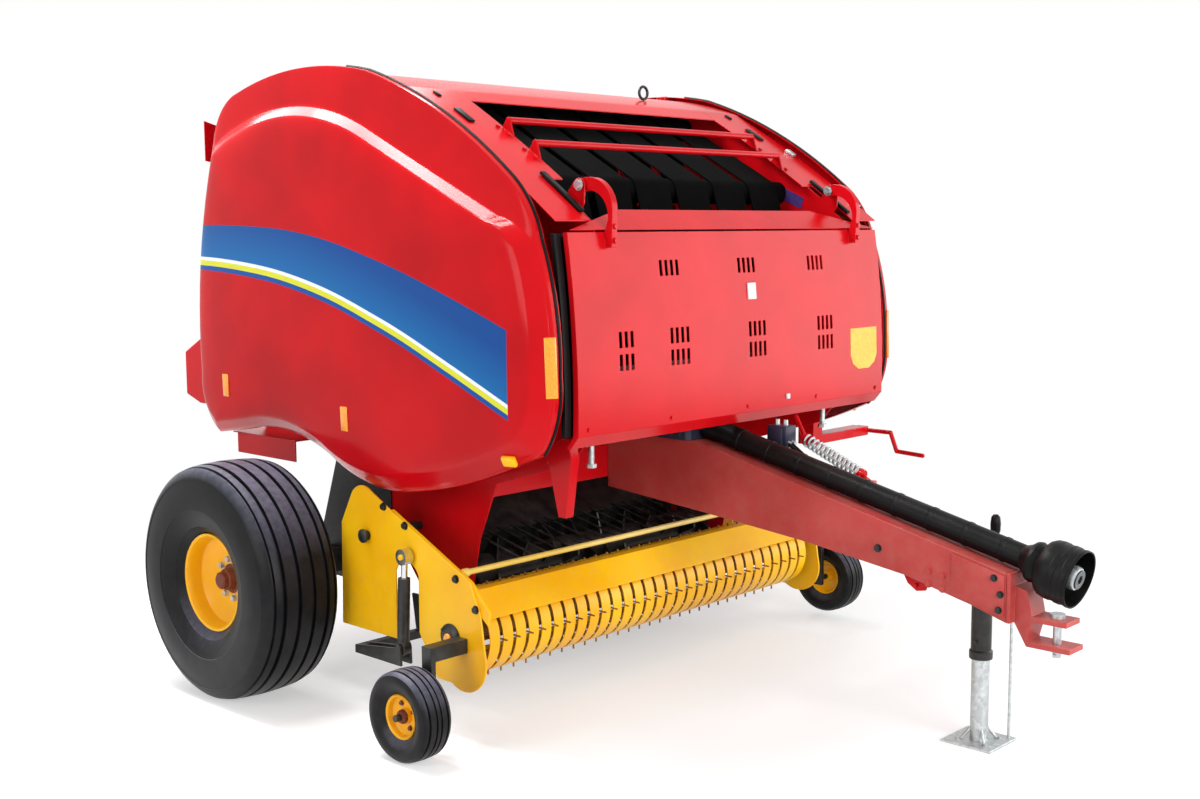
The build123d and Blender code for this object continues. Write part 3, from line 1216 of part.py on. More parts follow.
def cylinder_pair(name, foot, head, radius, rod_radius, barrel_length, copies):
    """Hydraulic cylinder between two eyes in one plane along the machine: a barrel
    on the foot eye and a rod up to the head eye. Each eye turns about Y."""
    length = hypot(head[0] - foot[0], head[2] - foot[2])
    tilt = degrees(atan2(head[0] - foot[0], head[2] - foot[2]))
    place = Location(foot) * Location((0, 0, 0), (0, tilt, 0))
    eye_half = EYE_WIDTH / 2
    barrel_bottom = EYE_RADIUS * 0.6
    barrel = Pos(0, 0, (barrel_bottom + barrel_length) / 2) * Cylinder(radius, barrel_length - barrel_bottom)
    barrel += rod_y(0, 0, EYE_RADIUS, -eye_half, eye_half)
    barrel -= rod_y(0, 0, EYE_PIN_RADIUS + PIN_GAP, -100, 100)
    bore_bottom = barrel_length * 0.12
    barrel -= Pos(0, 0, bore_bottom + barrel_length / 2) * Cylinder(rod_radius + PIN_GAP, barrel_length)
    rod_bottom = bore_bottom + 10
    rod = Pos(0, 0, (rod_bottom + length) / 2) * Cylinder(rod_radius, length - rod_bottom)
    rod += Pos(0, 0, length) * rod_y(0, 0, EYE_RADIUS, -eye_half, eye_half)
    rod -= Pos(0, 0, length) * rod_y(0, 0, EYE_PIN_RADIUS + PIN_GAP, -100, 100)
    save(name + "_barrel", *[copy(barrel.moved(place)) for copy in copies])
    save(name + "_rod", *[copy(rod.moved(place)) for copy in copies])


def same(solid):
    """The piece itself, beside its mirrored copy in a list of copies."""
    return solid


cylinder_pair(
    "tail_cylinder",
    (TAIL_FOOT_X, TAIL_CYLINDER_Y, TAIL_FOOT_Z),
    (TAIL_HEAD_X, TAIL_CYLINDER_Y, TAIL_HEAD_Z),
    TAIL_BARREL_RADIUS,
    TAIL_ROD_RADIUS,
    TAIL_BARREL_LENGTH,
    (same, mirrored),
)
cylinder_pair(
    "lift_cylinder",
    (LIFT_FOOT_X, LIFT_CYLINDER_Y, LIFT_FOOT_Z),
    (LIFT_HEAD_X, LIFT_CYLINDER_Y, LIFT_HEAD_Z),
    LIFT_BARREL_RADIUS,
    LIFT_ROD_RADIUS,
    LIFT_BARREL_LENGTH,
    (mirrored,),
)

# Belts and their rollers


def hull_face(points, radius):
    """Face with round corners around like circles at points that run anticlockwise."""
    count = len(points)
    edges = []
    corners = []
    for index in range(count):
        here = Vector(*points[index])
        after = Vector(*points[(index + 1) % count])
        run = (after - here).normalized()
        side = Vector(run.Y, -run.X) * radius
        corners.append((here, here + side, after + side, side))
    for index in range(count):
        middle, start, end, side = corners[index]
        next_middle, next_start, next_end, next_side = corners[(index + 1) % count]
        via = next_middle + (side + next_side).normalized() * radius
        edges.append(Line(start, end))
        edges.append(ThreePointArc(end, via, next_start))
    return make_face(Curve() + edges)


def belt_loop(rollers):
    """One band per belt round the rollers."""
    inner = BELT_ROLLER_RADIUS + SEAT_GAP
    ring = hull_face(rollers, inner + BELT_THICKNESS) - hull_face(rollers, inner)
    loops = []
    for index in range(BELT_COUNT):
        middle = (index - (BELT_COUNT - 1) / 2) * BELT_PITCH
        loops.append(across(ring, middle - BELT_WIDTH / 2, middle + BELT_WIDTH / 2))
    return loops


def belt_rollers(rollers):
    """Rollers between the side sheets for one loop of belts."""
    half = SHEET_Y - SHEET / 2 - SEAT_GAP
    return [rod_y(x, z, BELT_ROLLER_RADIUS, -half, half) for x, z in rollers]


save("front_belts", *belt_loop(FRONT_BELT_ROLLERS))
save("front_belt_rollers", *belt_rollers(FRONT_BELT_ROLLERS))
save("rear_belts", *belt_loop(REAR_BELT_ROLLERS))
save("rear_belt_rollers", *belt_rollers(REAR_BELT_ROLLERS))

# Brackets under the door, with the crank on the outrigger's end
pointed_face = outline((1520, 1230), (1640, 1262), (1660, 1180), (1625, 945), (1585, 945), (1540, 1120))
pointed = across(pointed_face, POINTED_INNER_Y, POINTED_OUTER_Y)
pointed_root = outline((1520, 1150), (1520, 1230), (1600, 1230), (1600, 1190))
pointed += across(pointed_root, EAR_INNER_Y, POINTED_OUTER_Y)
save("right_bracket", mirrored(pointed))
outrigger_ends = (OUTRIGGER_X - OUTRIGGER_WIDTH / 2, OUTRIGGER_X + OUTRIGGER_WIDTH / 2)
bar_ends = (OUTRIGGER_BAR_Z - OUTRIGGER_BAR / 2, OUTRIGGER_BAR_Z + OUTRIGGER_BAR / 2)
root_ends = (OUTRIGGER_Z - OUTRIGGER_ROOT_HEIGHT / 2, OUTRIGGER_Z + OUTRIGGER_ROOT_HEIGHT / 2)
outrigger = block(outrigger_ends, (EAR_INNER_Y, OUTRIGGER_END_Y), bar_ends)
outrigger += block(outrigger_ends, (EAR_INNER_Y, OUTRIGGER_ROOT_Y), root_ends)
save("left_outrigger", outrigger)
crank_y = OUTRIGGER_END_Y + SEAT_GAP + CRANK_HUB / 2
crank = Pos(OUTRIGGER_X, crank_y, OUTRIGGER_BAR_Z) * Box(60, CRANK_HUB, 40)
crank_points = (
    (OUTRIGGER_X, crank_y, OUTRIGGER_BAR_Z),
    (OUTRIGGER_X + 170, crank_y, OUTRIGGER_BAR_Z),
    (OUTRIGGER_X + 190, crank_y + 27, OUTRIGGER_BAR_Z - 96),
    (OUTRIGGER_X + 330, crank_y + 42, OUTRIGGER_BAR_Z - 106),
)
for start, end in zip(crank_points[:-1], crank_points[1:]):
    crank += rod_between(start, end, CRANK_RADIUS)
    crank += Pos(*end) * Sphere(CRANK_RADIUS)
save("crank_handle", crank)

# Handle on top of the parking jack
jack_cap_z = JACK_TUBE_TOP + SEAT_GAP + JACK_CAP_HEIGHT / 2
jack_cap = Pos(JACK_X, JACK_Y, jack_cap_z) * Cylinder(JACK_TUBE_RADIUS, JACK_CAP_HEIGHT)
knob_x = JACK_X + JACK_KNOB_X
knob_y = JACK_Y + JACK_KNOB_Y
jack_cap += rod_between((JACK_X, JACK_Y, jack_cap_z), (knob_x, knob_y, jack_cap_z + 18), 9)
jack_cap += Pos(knob_x, knob_y, jack_cap_z + 44) * Cylinder(JACK_KNOB_RADIUS, JACK_KNOB_HEIGHT)
save("jack_handle", jack_cap)

# The origin goes under the middle of the length, then each node is written
boxes = [solid.bounding_box() for solids in nodes.values() for solid in solids]
MIDDLE_X = (min(box.min.X for box in boxes) + max(box.max.X for box in boxes)) / 2
print("middle from the axle", round(MIDDLE_X, 3))
os.makedirs("parts", exist_ok=True)
for name, solids in nodes.items():
    shifted = [solid.moved(Location((-MIDDLE_X, 0, 0))) for solid in solids]
    export_step(shifted[0] if len(shifted) == 1 else Compound(children=shifted), "parts/" + name + ".step")
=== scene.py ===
import cmath
import json
import math

import bmesh
import bpy
from mathutils import Matrix, Quaternion, Vector
from mathutils.bvhtree import BVHTree


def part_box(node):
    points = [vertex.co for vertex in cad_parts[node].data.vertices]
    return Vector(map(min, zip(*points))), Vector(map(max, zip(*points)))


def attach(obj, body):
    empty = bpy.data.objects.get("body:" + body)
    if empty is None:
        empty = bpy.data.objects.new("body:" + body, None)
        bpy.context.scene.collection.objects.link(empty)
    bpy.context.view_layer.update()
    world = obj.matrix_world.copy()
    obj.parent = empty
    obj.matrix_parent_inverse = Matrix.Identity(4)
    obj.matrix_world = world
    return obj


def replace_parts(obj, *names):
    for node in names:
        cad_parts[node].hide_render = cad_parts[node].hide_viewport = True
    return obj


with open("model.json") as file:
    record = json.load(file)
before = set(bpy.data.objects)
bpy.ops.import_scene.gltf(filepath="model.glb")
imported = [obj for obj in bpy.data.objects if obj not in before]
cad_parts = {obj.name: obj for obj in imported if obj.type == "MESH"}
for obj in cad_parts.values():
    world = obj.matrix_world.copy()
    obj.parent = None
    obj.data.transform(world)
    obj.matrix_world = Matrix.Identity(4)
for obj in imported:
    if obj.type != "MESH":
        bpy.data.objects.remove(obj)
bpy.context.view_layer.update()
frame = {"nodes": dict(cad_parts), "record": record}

# Places below are in metres, with X counted from the wheel axle
axle_low, axle_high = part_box("tyre_left")
AXLE_X = (axle_low[0] + axle_high[0]) / 2


def spot(x, y, z):
    """Point in the frame from a place counted from the wheel axle."""
    return Vector((x + AXLE_X, y, z))


# Colours and materials


def linear(code):
    """sRGB hex colour as linear values."""
    values = [int(code[i : i + 2], 16) / 255 for i in (0, 2, 4)]
    return [v / 12.92 if v <= 0.04045 else ((v + 0.055) / 1.055) ** 2.4 for v in values] + [1.0]


def feed(tree, node, inputs):
    """Gives a node its inputs, sockets or values, in order or by name."""
    for key, value in inputs.items() if isinstance(inputs, dict) else enumerate(inputs):
        if isinstance(value, bpy.types.NodeSocket):
            tree.links.new(value, node.inputs[key])
        else:
            node.inputs[key].default_value = value


def add(tree, kind, inputs=(), output=0, **settings):
    """Output of one new shader node, or the node itself where output is None."""
    node = tree.nodes.new("ShaderNode" + kind)
    for key, value in settings.items():
        setattr(node, key, value)
    feed(tree, node, inputs)
    return node if output is None else node.outputs[output]


def parts_of(material):
    """A material's tree, its shader and the object's own coordinates."""
    tree = material.node_tree
    return tree, tree.nodes["Principled BSDF"], add(tree, "TexCoord", output="Object")


def new_material(name):
    """Material with its tree, its shader and the object's own coordinates."""
    material = bpy.data.materials.new(name)
    material.use_nodes = True
    return material, *parts_of(material)


def patches(tree, place, size_mm, detail, rough, low, high):
    """Cloudy patches of about this size: 0 under the low level, 1 over the high one."""
    inputs = {"Vector": place, "Scale": 1000 / size_mm, "Detail": detail, "Roughness": rough}
    return add(tree, "MapRange", (add(tree, "TexNoise", inputs), low, high), clamp=True)


def looks_up(tree, low, high):
    """How far a face looks up: 0 under the low slope, 1 over the high one."""
    up = add(tree, "SeparateXYZ", (add(tree, "NewGeometry", output="Normal"),), 2)
    return add(tree, "MapRange", (up, low, high), clamp=True)


def dust_mask(tree, place, low, high, strength):
    """Dust that gathers low on the machine and on faces that look up."""
    height = add(tree, "SeparateXYZ", (place,), 2)
    lowness = add(tree, "MapRange", (height, high, low), clamp=True)
    low_dust = add(tree, "Math", (lowness, 0.55), operation="MULTIPLY")
    amount = add(tree, "Math", (looks_up(tree, -0.2, 1.0), 0.6, low_dust), operation="MULTIPLY_ADD")
    cloud = patches(tree, place, size_mm=60, detail=5.0, rough=0.65, low=0.38, high=0.72)
    cloudy = add(tree, "Math", (amount, cloud), operation="MULTIPLY")
    return add(tree, "Math", (cloudy, strength), operation="MULTIPLY", use_clamp=True)


DUST = linear("A39B8C")


def dusty_colour(tree, place, pattern, first, second, low, high, strength):
    """Colour that follows a pattern from one code to another, under dust, and the dust's share."""
    base = {0: pattern, 6: linear(first), 7: linear(second)}
    dust = dust_mask(tree, place, low, high, strength)
    inputs = {0: dust, 6: add(tree, "Mix", base, 2, data_type="RGBA"), 7: DUST}
    return add(tree, "Mix", inputs, 2, data_type="RGBA"), dust


def lay_over(tree, shader, share, colour):
    """Lays a colour over the one that a shader has."""
    base = shader.inputs["Base Color"].links[0].from_socket
    inputs = {0: share, 6: base, 7: colour}
    feed(tree, shader, {"Base Color": add(tree, "Mix", inputs, 2, data_type="RGBA")})


def paint(name, code, worn_code, roughness, gloss, dust):
    """Sprayed and baked paint: slow colour drift, uneven gloss, orange peel and dust."""
    material, tree, shader, place = new_material(name)
    drift = patches(tree, place, size_mm=420, detail=2.0, rough=0.5, low=0.35, high=0.65)
    colour, dusty = dusty_colour(tree, place, drift, code, worn_code, 0.15, 1.3, dust)
    speck = add(tree, "TexNoise", {"Vector": place, "Scale": 1000 / 9, "Detail": 3.0})
    rough = add(tree, "Math", (speck, 0.10, roughness - 0.05), operation="MULTIPLY_ADD")
    rough = add(tree, "Math", (dusty, 0.45, rough), operation="MULTIPLY_ADD", use_clamp=True)
    # Real orange peel is 1 to 2 mm across, drawn at 5 mm so that it shows
    peel = add(tree, "TexNoise", {"Vector": place, "Scale": 1000 / 5, "Detail": 1.0})
    relief = add(tree, "Bump", {"Height": peel, "Strength": 0.04, "Distance": 0.0004})
    surface = {"Base Color": colour, "Roughness": rough, "Normal": relief}
    feed(tree, shader, {**surface, "IOR": 1.5, "Specular IOR Level": gloss})
    return material


def rubber(name, code, dusty_code, grain_mm, roughness, dust, gloss):
    """Moulded rubber: fine grain, drawn coarse so that it shows, grey bloom and low dust."""
    material, tree, shader, place = new_material(name)
    bloom = patches(tree, place, size_mm=90, detail=5.0, rough=0.6, low=0.35, high=0.7)
    colour = dusty_colour(tree, place, bloom, code, dusty_code, 0.0, 0.9, dust)[0]
    grain = add(tree, "TexNoise", {"Vector": place, "Scale": 1000 / grain_mm, "Detail": 3.0})
    rough = add(tree, "Math", (grain, 0.2, roughness - 0.1), operation="MULTIPLY_ADD")
    relief = add(tree, "Bump", {"Height": grain, "Strength": 0.35, "Distance": 0.0006})
    surface = {"Base Color": colour, "Roughness": rough, "Normal": relief}
    feed(tree, shader, {**surface, "IOR": 1.52, "Specular IOR Level": gloss})
    return material


def tyre_rubber(name):
    """Tyre rubber with a little dust, and a painted sheen: pale bluish grey laid in patches on the
    parts of the tread that look up.
    """
    material = rubber(name, "09090C", "0F0F13", 2.0, 0.38, 0.04, 0.16)
    tree, shader, place = parts_of(material)
    # Painted sheen: pale bluish grey on the tread faces that look up, where the light from above
    # falls
    cloud = patches(tree, place, size_mm=30, detail=4.0, rough=0.6, low=0.3, high=0.7)
    strength = add(tree, "Math", (cloud, 0.25, 0.3), operation="MULTIPLY_ADD")
    painted_sheen = add(tree, "Math", (looks_up(tree, 0.3, 0.95), strength), operation="MULTIPLY")
    lay_over(tree, shader, painted_sheen, linear("8C8DA2"))
    return material


def metal(name, code, second_code, roughness, metallic=1.0, spangle_mm=0.0):
    """Bare, plated or galvanised metal, with spangles where a size is given."""
    material, tree, shader, place = new_material(name)
    if spangle_mm:
        cells = add(tree, "TexVoronoi", {"Vector": place, "Scale": 1000 / spangle_mm}, "Color")
        pattern = add(tree, "SeparateColor", (cells,))
    else:
        cloud = {"Vector": place, "Scale": 1000 / 35, "Detail": 5.0, "Roughness": 0.6}
        pattern = add(tree, "TexNoise", cloud)
    colour, dusty = dusty_colour(tree, place, pattern, code, second_code, 0.0, 0.8, 0.2)
    rough = add(tree, "Math", (pattern, 0.16, roughness), operation="MULTIPLY_ADD")
    rough = add(tree, "Math", (dusty, 0.4, rough), operation="MULTIPLY_ADD")
    scuffs = add(tree, "TexNoise", {"Vector": place, "Scale": 1000 / 3, "Detail": 2.0})
    relief = add(tree, "Bump", {"Height": scuffs, "Strength": 0.08, "Distance": 0.0003})
    surface = {"Base Color": colour, "Roughness": rough, "Normal": relief}
    feed(tree, shader, {**surface, "Metallic": metallic})
    return material


# Printed film on the shields: where it ends, and its two edges as x and height
FILM_X = (-0.8, 1.7)
FILM_FRONT = 1.57
FILM_Y = 1.17
FILM_BASE = 1.2
FILM_TOP = ((-0.8, 2.085), (-0.2, 2.088), (0.3, 2.052), (0.8, 1.945), (1.2, 1.825), (1.7, 1.64))
FILM_FOOT = ((-0.8, 1.885), (-0.2, 1.865), (0.3, 1.795), (0.8, 1.655), (1.2, 1.505), (1.7, 1.29))


def curve_height(tree, place_x, points):
    """Height read from a curve of (x, height) points, both in metres."""
    start, end = FILM_X
    along = add(tree, "MapRange", (place_x, start + AXLE_X, end + AXLE_X), clamp=True)
    curve = add(tree, "FloatCurve", {"Value": along}, output=None)
    line = curve.mapping.curves[0]
    spots = [((x - start) / (end - start), z - FILM_BASE) for x, z in points]
    line.points[0].location = spots[0]
    line.points[1].location = spots[-1]
    for x, z in spots[1:-1]:
        line.points.new(x, z)
    curve.mapping.update()
    return add(tree, "Math", (curve.outputs[0], FILM_BASE), operation="ADD")


def shield_paint(name):
    """Red paint with a printed film: a blue band over thin white and yellow stripes."""
    material = paint(name, "C60712", "B2050F", 0.15, 0.14, 0.01)
    tree, shader, place = parts_of(material)
    x, y, z = add(tree, "SeparateXYZ", (place,), output=None).outputs
    above = add(tree, "Math", (z, curve_height(tree, x, FILM_FOOT)), operation="SUBTRACT")
    below = add(tree, "Math", (curve_height(tree, x, FILM_TOP), z), operation="SUBTRACT")
    aside = add(tree, "Math", (y,), operation="ABSOLUTE")
    inside = add(tree, "Math", (x, FILM_FRONT + AXLE_X), operation="LESS_THAN")
    for value, limit in ((aside, FILM_Y), (above, 0), (below, 0)):
        past = add(tree, "Math", (value, limit), operation="GREATER_THAN")
        inside = add(tree, "Math", (inside, past), operation="MULTIPLY")
    shade = add(tree, "MapRange", (above, 0.05, 0.25), clamp=True)
    blues = {0: shade, 6: linear("1A69A8"), 7: linear("184A90")}
    blue = add(tree, "Mix", blues, 2, data_type="RGBA")
    stripes = linear("1B4F9C")
    for start, colour in ((0.022, linear("D9D83A")), (0.046, linear("E9EEF2")), (0.062, blue)):
        past = add(tree, "Math", (above, start), operation="GREATER_THAN")
        stripes = add(tree, "Mix", {0: past, 6: stripes, 7: colour}, 2, data_type="RGBA")
    lay_over(tree, shader, inside, stripes)
    return material


def film(name, code, second_code):
    """Printed vinyl film or moulded trim: slight mottling and light dust."""
    material, tree, shader, place = new_material(name)
    mottle = patches(tree, place, size_mm=18, detail=3.0, rough=0.5, low=0.35, high=0.65)
    colour = dusty_colour(tree, place, mottle, code, second_code, 0.1, 1.6, 0.2)[0]
    rough = add(tree, "Math", (mottle, 0.1, 0.4), operation="MULTIPLY_ADD")
    feed(tree, shader, {"Base Color": colour, "Roughness": rough, "IOR": 1.5})
    return material


def lens_plastic(name, code, second_code):
    """Moulded reflector plastic: a grid of 6 mm prisms under a smooth face, with a painted glint:
    the colour shifts from one tone to another across each prism.
    """
    material, tree, shader, place = new_material(name)
    grid = {"Vector": place, "Scale": 1000 / 6}
    prisms = add(tree, "TexVoronoi", grid, distance="CHEBYCHEV")
    # Painted glint: each prism's colour shifts with the distance from its middle, as the light it
    # breaks would show
    prism_glint_tones = {0: prisms, 6: linear(code), 7: linear(second_code)}
    colour = add(tree, "Mix", prism_glint_tones, 2, data_type="RGBA")
    relief = add(tree, "Bump", {"Height": prisms, "Strength": 0.3, "Distance": 0.0008})
    surface = {"Base Color": colour, "Roughness": 0.25, "Normal": relief}
    feed(tree, shader, {**surface, "IOR": 1.49, "Coat Weight": 0.6})
    return material


MATERIALS = {
    # Baked gloss enamel on the pressed shields: smooth enough to mirror a lamp as a soft band
    "shield_paint": shield_paint("red_shield_paint"),
    # Moulded acrylic: prisms under a clear face, their bright grain a painted glint laid in the
    # colour
    "amber": lens_plastic("amber_reflector", "FF8A00", "F9B233"),
    "lens": lens_plastic("red_lamp_lens", "B4060F", "7E0308"),
    # Vinyl and moulded polypropylene: flat, even colour with little shine
    "yellow_film": film("blank_yellow_film", "F4B82A", "EBAA1C"),
    "pale_plastic": film("pale_plastic", "DADDE0", "C9CCD0"),
    "blue_film": film("blank_violet_film", "4A2F7E", "3A2468"),
    # Cast hub in oxide primer: dull brown
    "hub_iron": paint("red_oxide_hub", "8A3A1E", "6A2A16", 0.5, 0.3, 0.2),
    # Sprayed enamel on sheet and tube: full colour with a soft shine
    "red": paint("red_paint", "CC0A16", "BC0811", 0.22, 0.18, 0.03),
    # The same enamel after years of sun and feet: pinkish, chalky and dusty
    "worn_red": paint("worn_red_paint", "BE4644", "A83430", 0.4, 0.3, 0.3),
    # Yellow enamel, paled almost to cream on the thin guard rod, and at full colour elsewhere
    "pale_cream_yellow": paint("pale_cream_yellow_paint", "F4DC86", "E8C558", 0.35, 0.3, 0.1),
    "yellow": paint("yellow_paint", "FFC60C", "F7B203", 0.32, 0.3, 0.10),
    # Spring steel whose paint the crop has rubbed: ochre that goes to brown
    "tine_paint": paint("worn_tine_paint", "B9822B", "6E4A22", 0.5, 0.3, 0.25),
    # Satin black enamel: edges still show against the dark behind them
    "black_paint": paint("black_paint", "121315", "0C0D0F", 0.38, 0.4, 0.15),
    # Tyre, belt and moulded trim: black, from a faint shine to none at all; the tyre's tread
    # carries a painted sheen where it looks up
    "tyre_rubber": tyre_rubber("tyre_rubber"),
    "belt_rubber": rubber("belt_rubber", "060607", "090909", 3.0, 0.9, 0.0, 0.04),
    "black_plastic": rubber("black_plastic", "08090A", "0D0D0F", 1.2, 0.40, 0.05, 0.12),
    # Hot-dip zinc: pale grey flakes that catch the light one by one
    "zinc": metal("galvanised_steel", "AEB4B6", "CBD0D1", 0.34, 0.85, 14.0),
    # Mill-finish steel: dull grey with soft blotches
    "steel": metal("rolled_steel", "5E6062", "7A7C7E", 0.35),
    # Hard chrome: nearly a mirror
    "rod_chrome": metal("chromed_rod", "C9CCD0", "D6D8DA", 0.1),
    # Cast housing in blue-grey paint: dark, with a satin shine
    "gearbox_iron": paint("blue_grey_cast_iron", "2C2E44", "222437", 0.45, 0.3, 0.12),
}

slots = {entry["node"]: entry["material_slot"] for entry in frame["record"]["subparts"]}
for node_name, node in frame["nodes"].items():
    node.data.materials.clear()
    node.data.materials.append(MATERIALS[slots[node_name]])

# Making pieces
SIDES = ((1, "left"), (-1, "right"))


def piece(name, shape, material, body, sharp=35.0):
    """Object from a bmesh: doubles merged, faces outward, riding on a body."""
    bmesh.ops.remove_doubles(shape, verts=shape.verts, dist=0.00004)
    bmesh.ops.recalc_face_normals(shape, faces=shape.faces)
    mesh = bpy.data.meshes.new(name)
    shape.to_mesh(mesh)
    shape.free()
    mesh.shade_smooth()
    mesh.set_sharp_from_angle(angle=math.radians(sharp))
    mesh.materials.append(MATERIALS[material])
    made = bpy.data.objects.new(name, mesh)
    bpy.context.collection.objects.link(made)
    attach(made, body)
    return made


def even_shading(made):
    """Shades a piece after its large faces, not after its thin bevels."""
    finish = made.modifiers.new("even_shading", "WEIGHTED_NORMAL")
    finish.weight = 100
    finish.keep_sharp = True


def edges_at(verts):
    """Edges that meet some vertices."""
    return list({edge for vert in verts for edge in vert.link_edges})


def round_edges(shape, edges, width):
    """Bevel of some edges."""
    bmesh.ops.bevel(
        shape,
        geom=edges,
        offset=width,
        offset_type="OFFSET",
        segments=2,
        profile=0.5,
        affect="EDGES",
        clamp_overlap=False,
        material=-1,
    )


def block(shape, middle, axes, size, edge):
    """Rounded block about a point of the frame, with its sizes along three axes."""
    turn = Matrix(axes).transposed().to_4x4()
    matrix = Matrix.Translation(middle) @ turn @ Matrix.Diagonal((*size, 1))
    made = bmesh.ops.create_cube(shape, size=1, matrix=matrix)
    round_edges(shape, edges_at(made["verts"]), edge)


def slab(shape, x_ends, y_ends, z_ends, edge):
    """Rounded block between two values of X, Y and Z."""
    ends = (x_ends, y_ends, z_ends)
    middle = spot(*[(low + high) / 2 for low, high in ends])
    block(shape, middle, Matrix.Identity(3), [abs(high - low) for low, high in ends], edge)


def bar(shape, start, end, radius, end_radius=None, steps=16):
    """Round bar or cone between two places."""
    start = spot(*start)
    end = spot(*end)
    turn = (end - start).to_track_quat("Z", "Y").to_matrix().to_4x4()
    bmesh.ops.create_cone(
        shape,
        cap_ends=True,
        segments=steps,
        radius1=radius,
        radius2=radius if end_radius is None else end_radius,
        depth=(end - start).length,
        matrix=Matrix.Translation((start + end) / 2) @ turn,
    )


def plate(shape, points, y_from, y_to, edge=0.0):
    """Plate cut to an outline of (x, z) points, between two values of Y."""
    corners = [shape.verts.new(spot(x, y_from, z)) for x, z in points]
    face = shape.faces.new(corners)
    moved = bmesh.ops.extrude_face_region(shape, geom=[face])["geom"]
    top = [part for part in moved if isinstance(part, bmesh.types.BMVert)]
    bmesh.ops.translate(shape, verts=top, vec=(0, y_to - y_from, 0))
    if edge:
        round_edges(shape, edges_at(corners + top), edge)


def both_halves(half):
    """Closed profile from the half on one side of the middle."""
    return half + tuple((radius, -along) for radius, along in reversed(half))


def lathe(shape, profile, middle, axis, steps=64, closed=True):
    """Turned ring from a profile of (radius, distance along the axis)."""
    axis = Vector(axis).normalized()
    out = axis.orthogonal().normalized()
    middle = spot(*middle)
    verts = [shape.verts.new(middle + out * radius + axis * along) for radius, along in profile]
    pairs = list(zip(verts[:-1], verts[1:]))
    if closed:
        pairs.append((verts[-1], verts[0]))
    edges = [shape.edges.new(pair) for pair in pairs]
    bmesh.ops.spin(
        shape,
        geom=verts + edges,
        cent=middle,
        axis=axis,
        dvec=(0, 0, 0),
        angle=2 * math.pi,
        steps=steps,
        use_merge=True,
        use_duplicate=False,
    )


def bolt(shape, place, axis, across=0.018, height=0.009):
    """Hexagon head on a washer."""
    start = Vector(place)
    out = Vector(axis).normalized()
    bar(shape, start, start + out * 0.002, across * 0.75, steps=18)
    bar(shape, start + out * 0.002, start + out * (0.002 + height), across * 0.58, steps=6)


def bolt_circle(shape, middle, side, radius, count, first, across, height):
    """Bolts spaced evenly on a circle that looks to one side, from a first angle on."""
    x, y, z = middle
    for step in range(count):
        turn = step * 2 * math.pi / count + first
        place = (x + radius * math.cos(turn), y, z + radius * math.sin(turn))
        bolt(shape, place, (0, side, 0), across, height)


def skin_of(node):
    """Surface of a CAD node, for finding places on it."""
    shape = bmesh.new()
    shape.from_mesh(frame["nodes"][node].data)
    tree = BVHTree.FromBMesh(shape)
    shape.free()
    return tree


def meets(skin, start, way):
    """Where a line from a start meets a skin, and how the face looks back along the line."""
    place, out = skin.ray_cast(start, Vector(way))[:2]
    return place, out if out.dot(Vector(way)) < 0 else -out


def from_axle(place):
    """Place counted from the wheel axle, from one in the frame."""
    return place - Vector((AXLE_X, 0, 0))


ROTOR_MIDDLE = (0.800, 0.560)
REEL_MIDDLE = (1.150, 0.418)
PICKUP_HINGE = (0.612, 0.765)
# Bores whose pins turn, as x, z and radius, eased so that no facet of a pin meets them
BORES = {
    "frame_side_sheets": ((*ROTOR_MIDDLE, 0.02505),),
    "pickup_sides": ((*PICKUP_HINGE, 0.02005), (*REEL_MIDDLE, 0.02005)),
}
BORE_EASE = 0.0003
# Angles in degrees: edges over the first are rounded, faces within the second are joined
EDGE_ANGLE = 32.0
FLAT_ANGLE = 0.4


def softened(name, width, material):
    """Copy of a CAD node with its edges rounded, standing for it."""
    shape = bmesh.new()
    shape.from_mesh(frame["nodes"][name].data)
    bmesh.ops.remove_doubles(shape, verts=shape.verts, dist=0.00002)
    for x, z, radius in BORES.get(name, ()):
        for vert in shape.verts:
            arm = vert.co - spot(x, vert.co.y, z)
            if arm.length < radius + 0.0002:
                vert.co += arm.normalized() * BORE_EASE
    flat = math.radians(FLAT_ANGLE)
    bmesh.ops.dissolve_limit(shape, angle_limit=flat, verts=shape.verts, edges=shape.edges)
    corner = math.radians(EDGE_ANGLE)
    edges = [e for e in shape.edges if len(e.link_faces) == 2 and e.calc_face_angle() > corner]
    round_edges(shape, edges, width)
    body = next(b for b, nodes in frame["record"]["behaviour"]["bodies"].items() if name in nodes)
    made = piece(name + "_sheet", shape, material, body, 40.0)
    even_shading(made)
    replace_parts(made, name)


# Side shields: their outline as arcs, each with its middle and end point as x and z, and how far
# those two fall on the way in to the crease
SHIELD_MIDDLE = (0.543, 1.872)
SHIELD_REACH = (1.203, 0.892)
SHIELD_CROWN = 1.2185
SHIELD_START = (-0.540, 1.105)
SHIELD_ARCS = (
    (-0.625, 1.180, -0.660, 1.350, 0.0, 0.0),
    (-0.640, 1.900, -0.500, 2.520, 0.0, 0.060),
    (-0.430, 2.625, -0.300, 2.692, 0.128, 0.147),
    (0.150, 2.765, 0.650, 2.722, 0.148, 0.212),
    (1.120, 2.524, 1.490, 2.278, 0.232, 0.158),
    (1.600, 2.160, 1.660, 2.020, 0.085, 0.006),
    (1.728, 1.780, 1.747, 1.520, 0.0, 0.0),
    (1.735, 1.360, 1.660, 1.215, 0.0, 0.0),
    (1.290, 1.072, 0.880, 0.982, 0.0, 0.0),
    (0.600, 0.992, 0.340, 1.085, 0.0, 0.0),
    (0.060, 1.160, -0.300, 1.140, 0.0, 0.0),
)
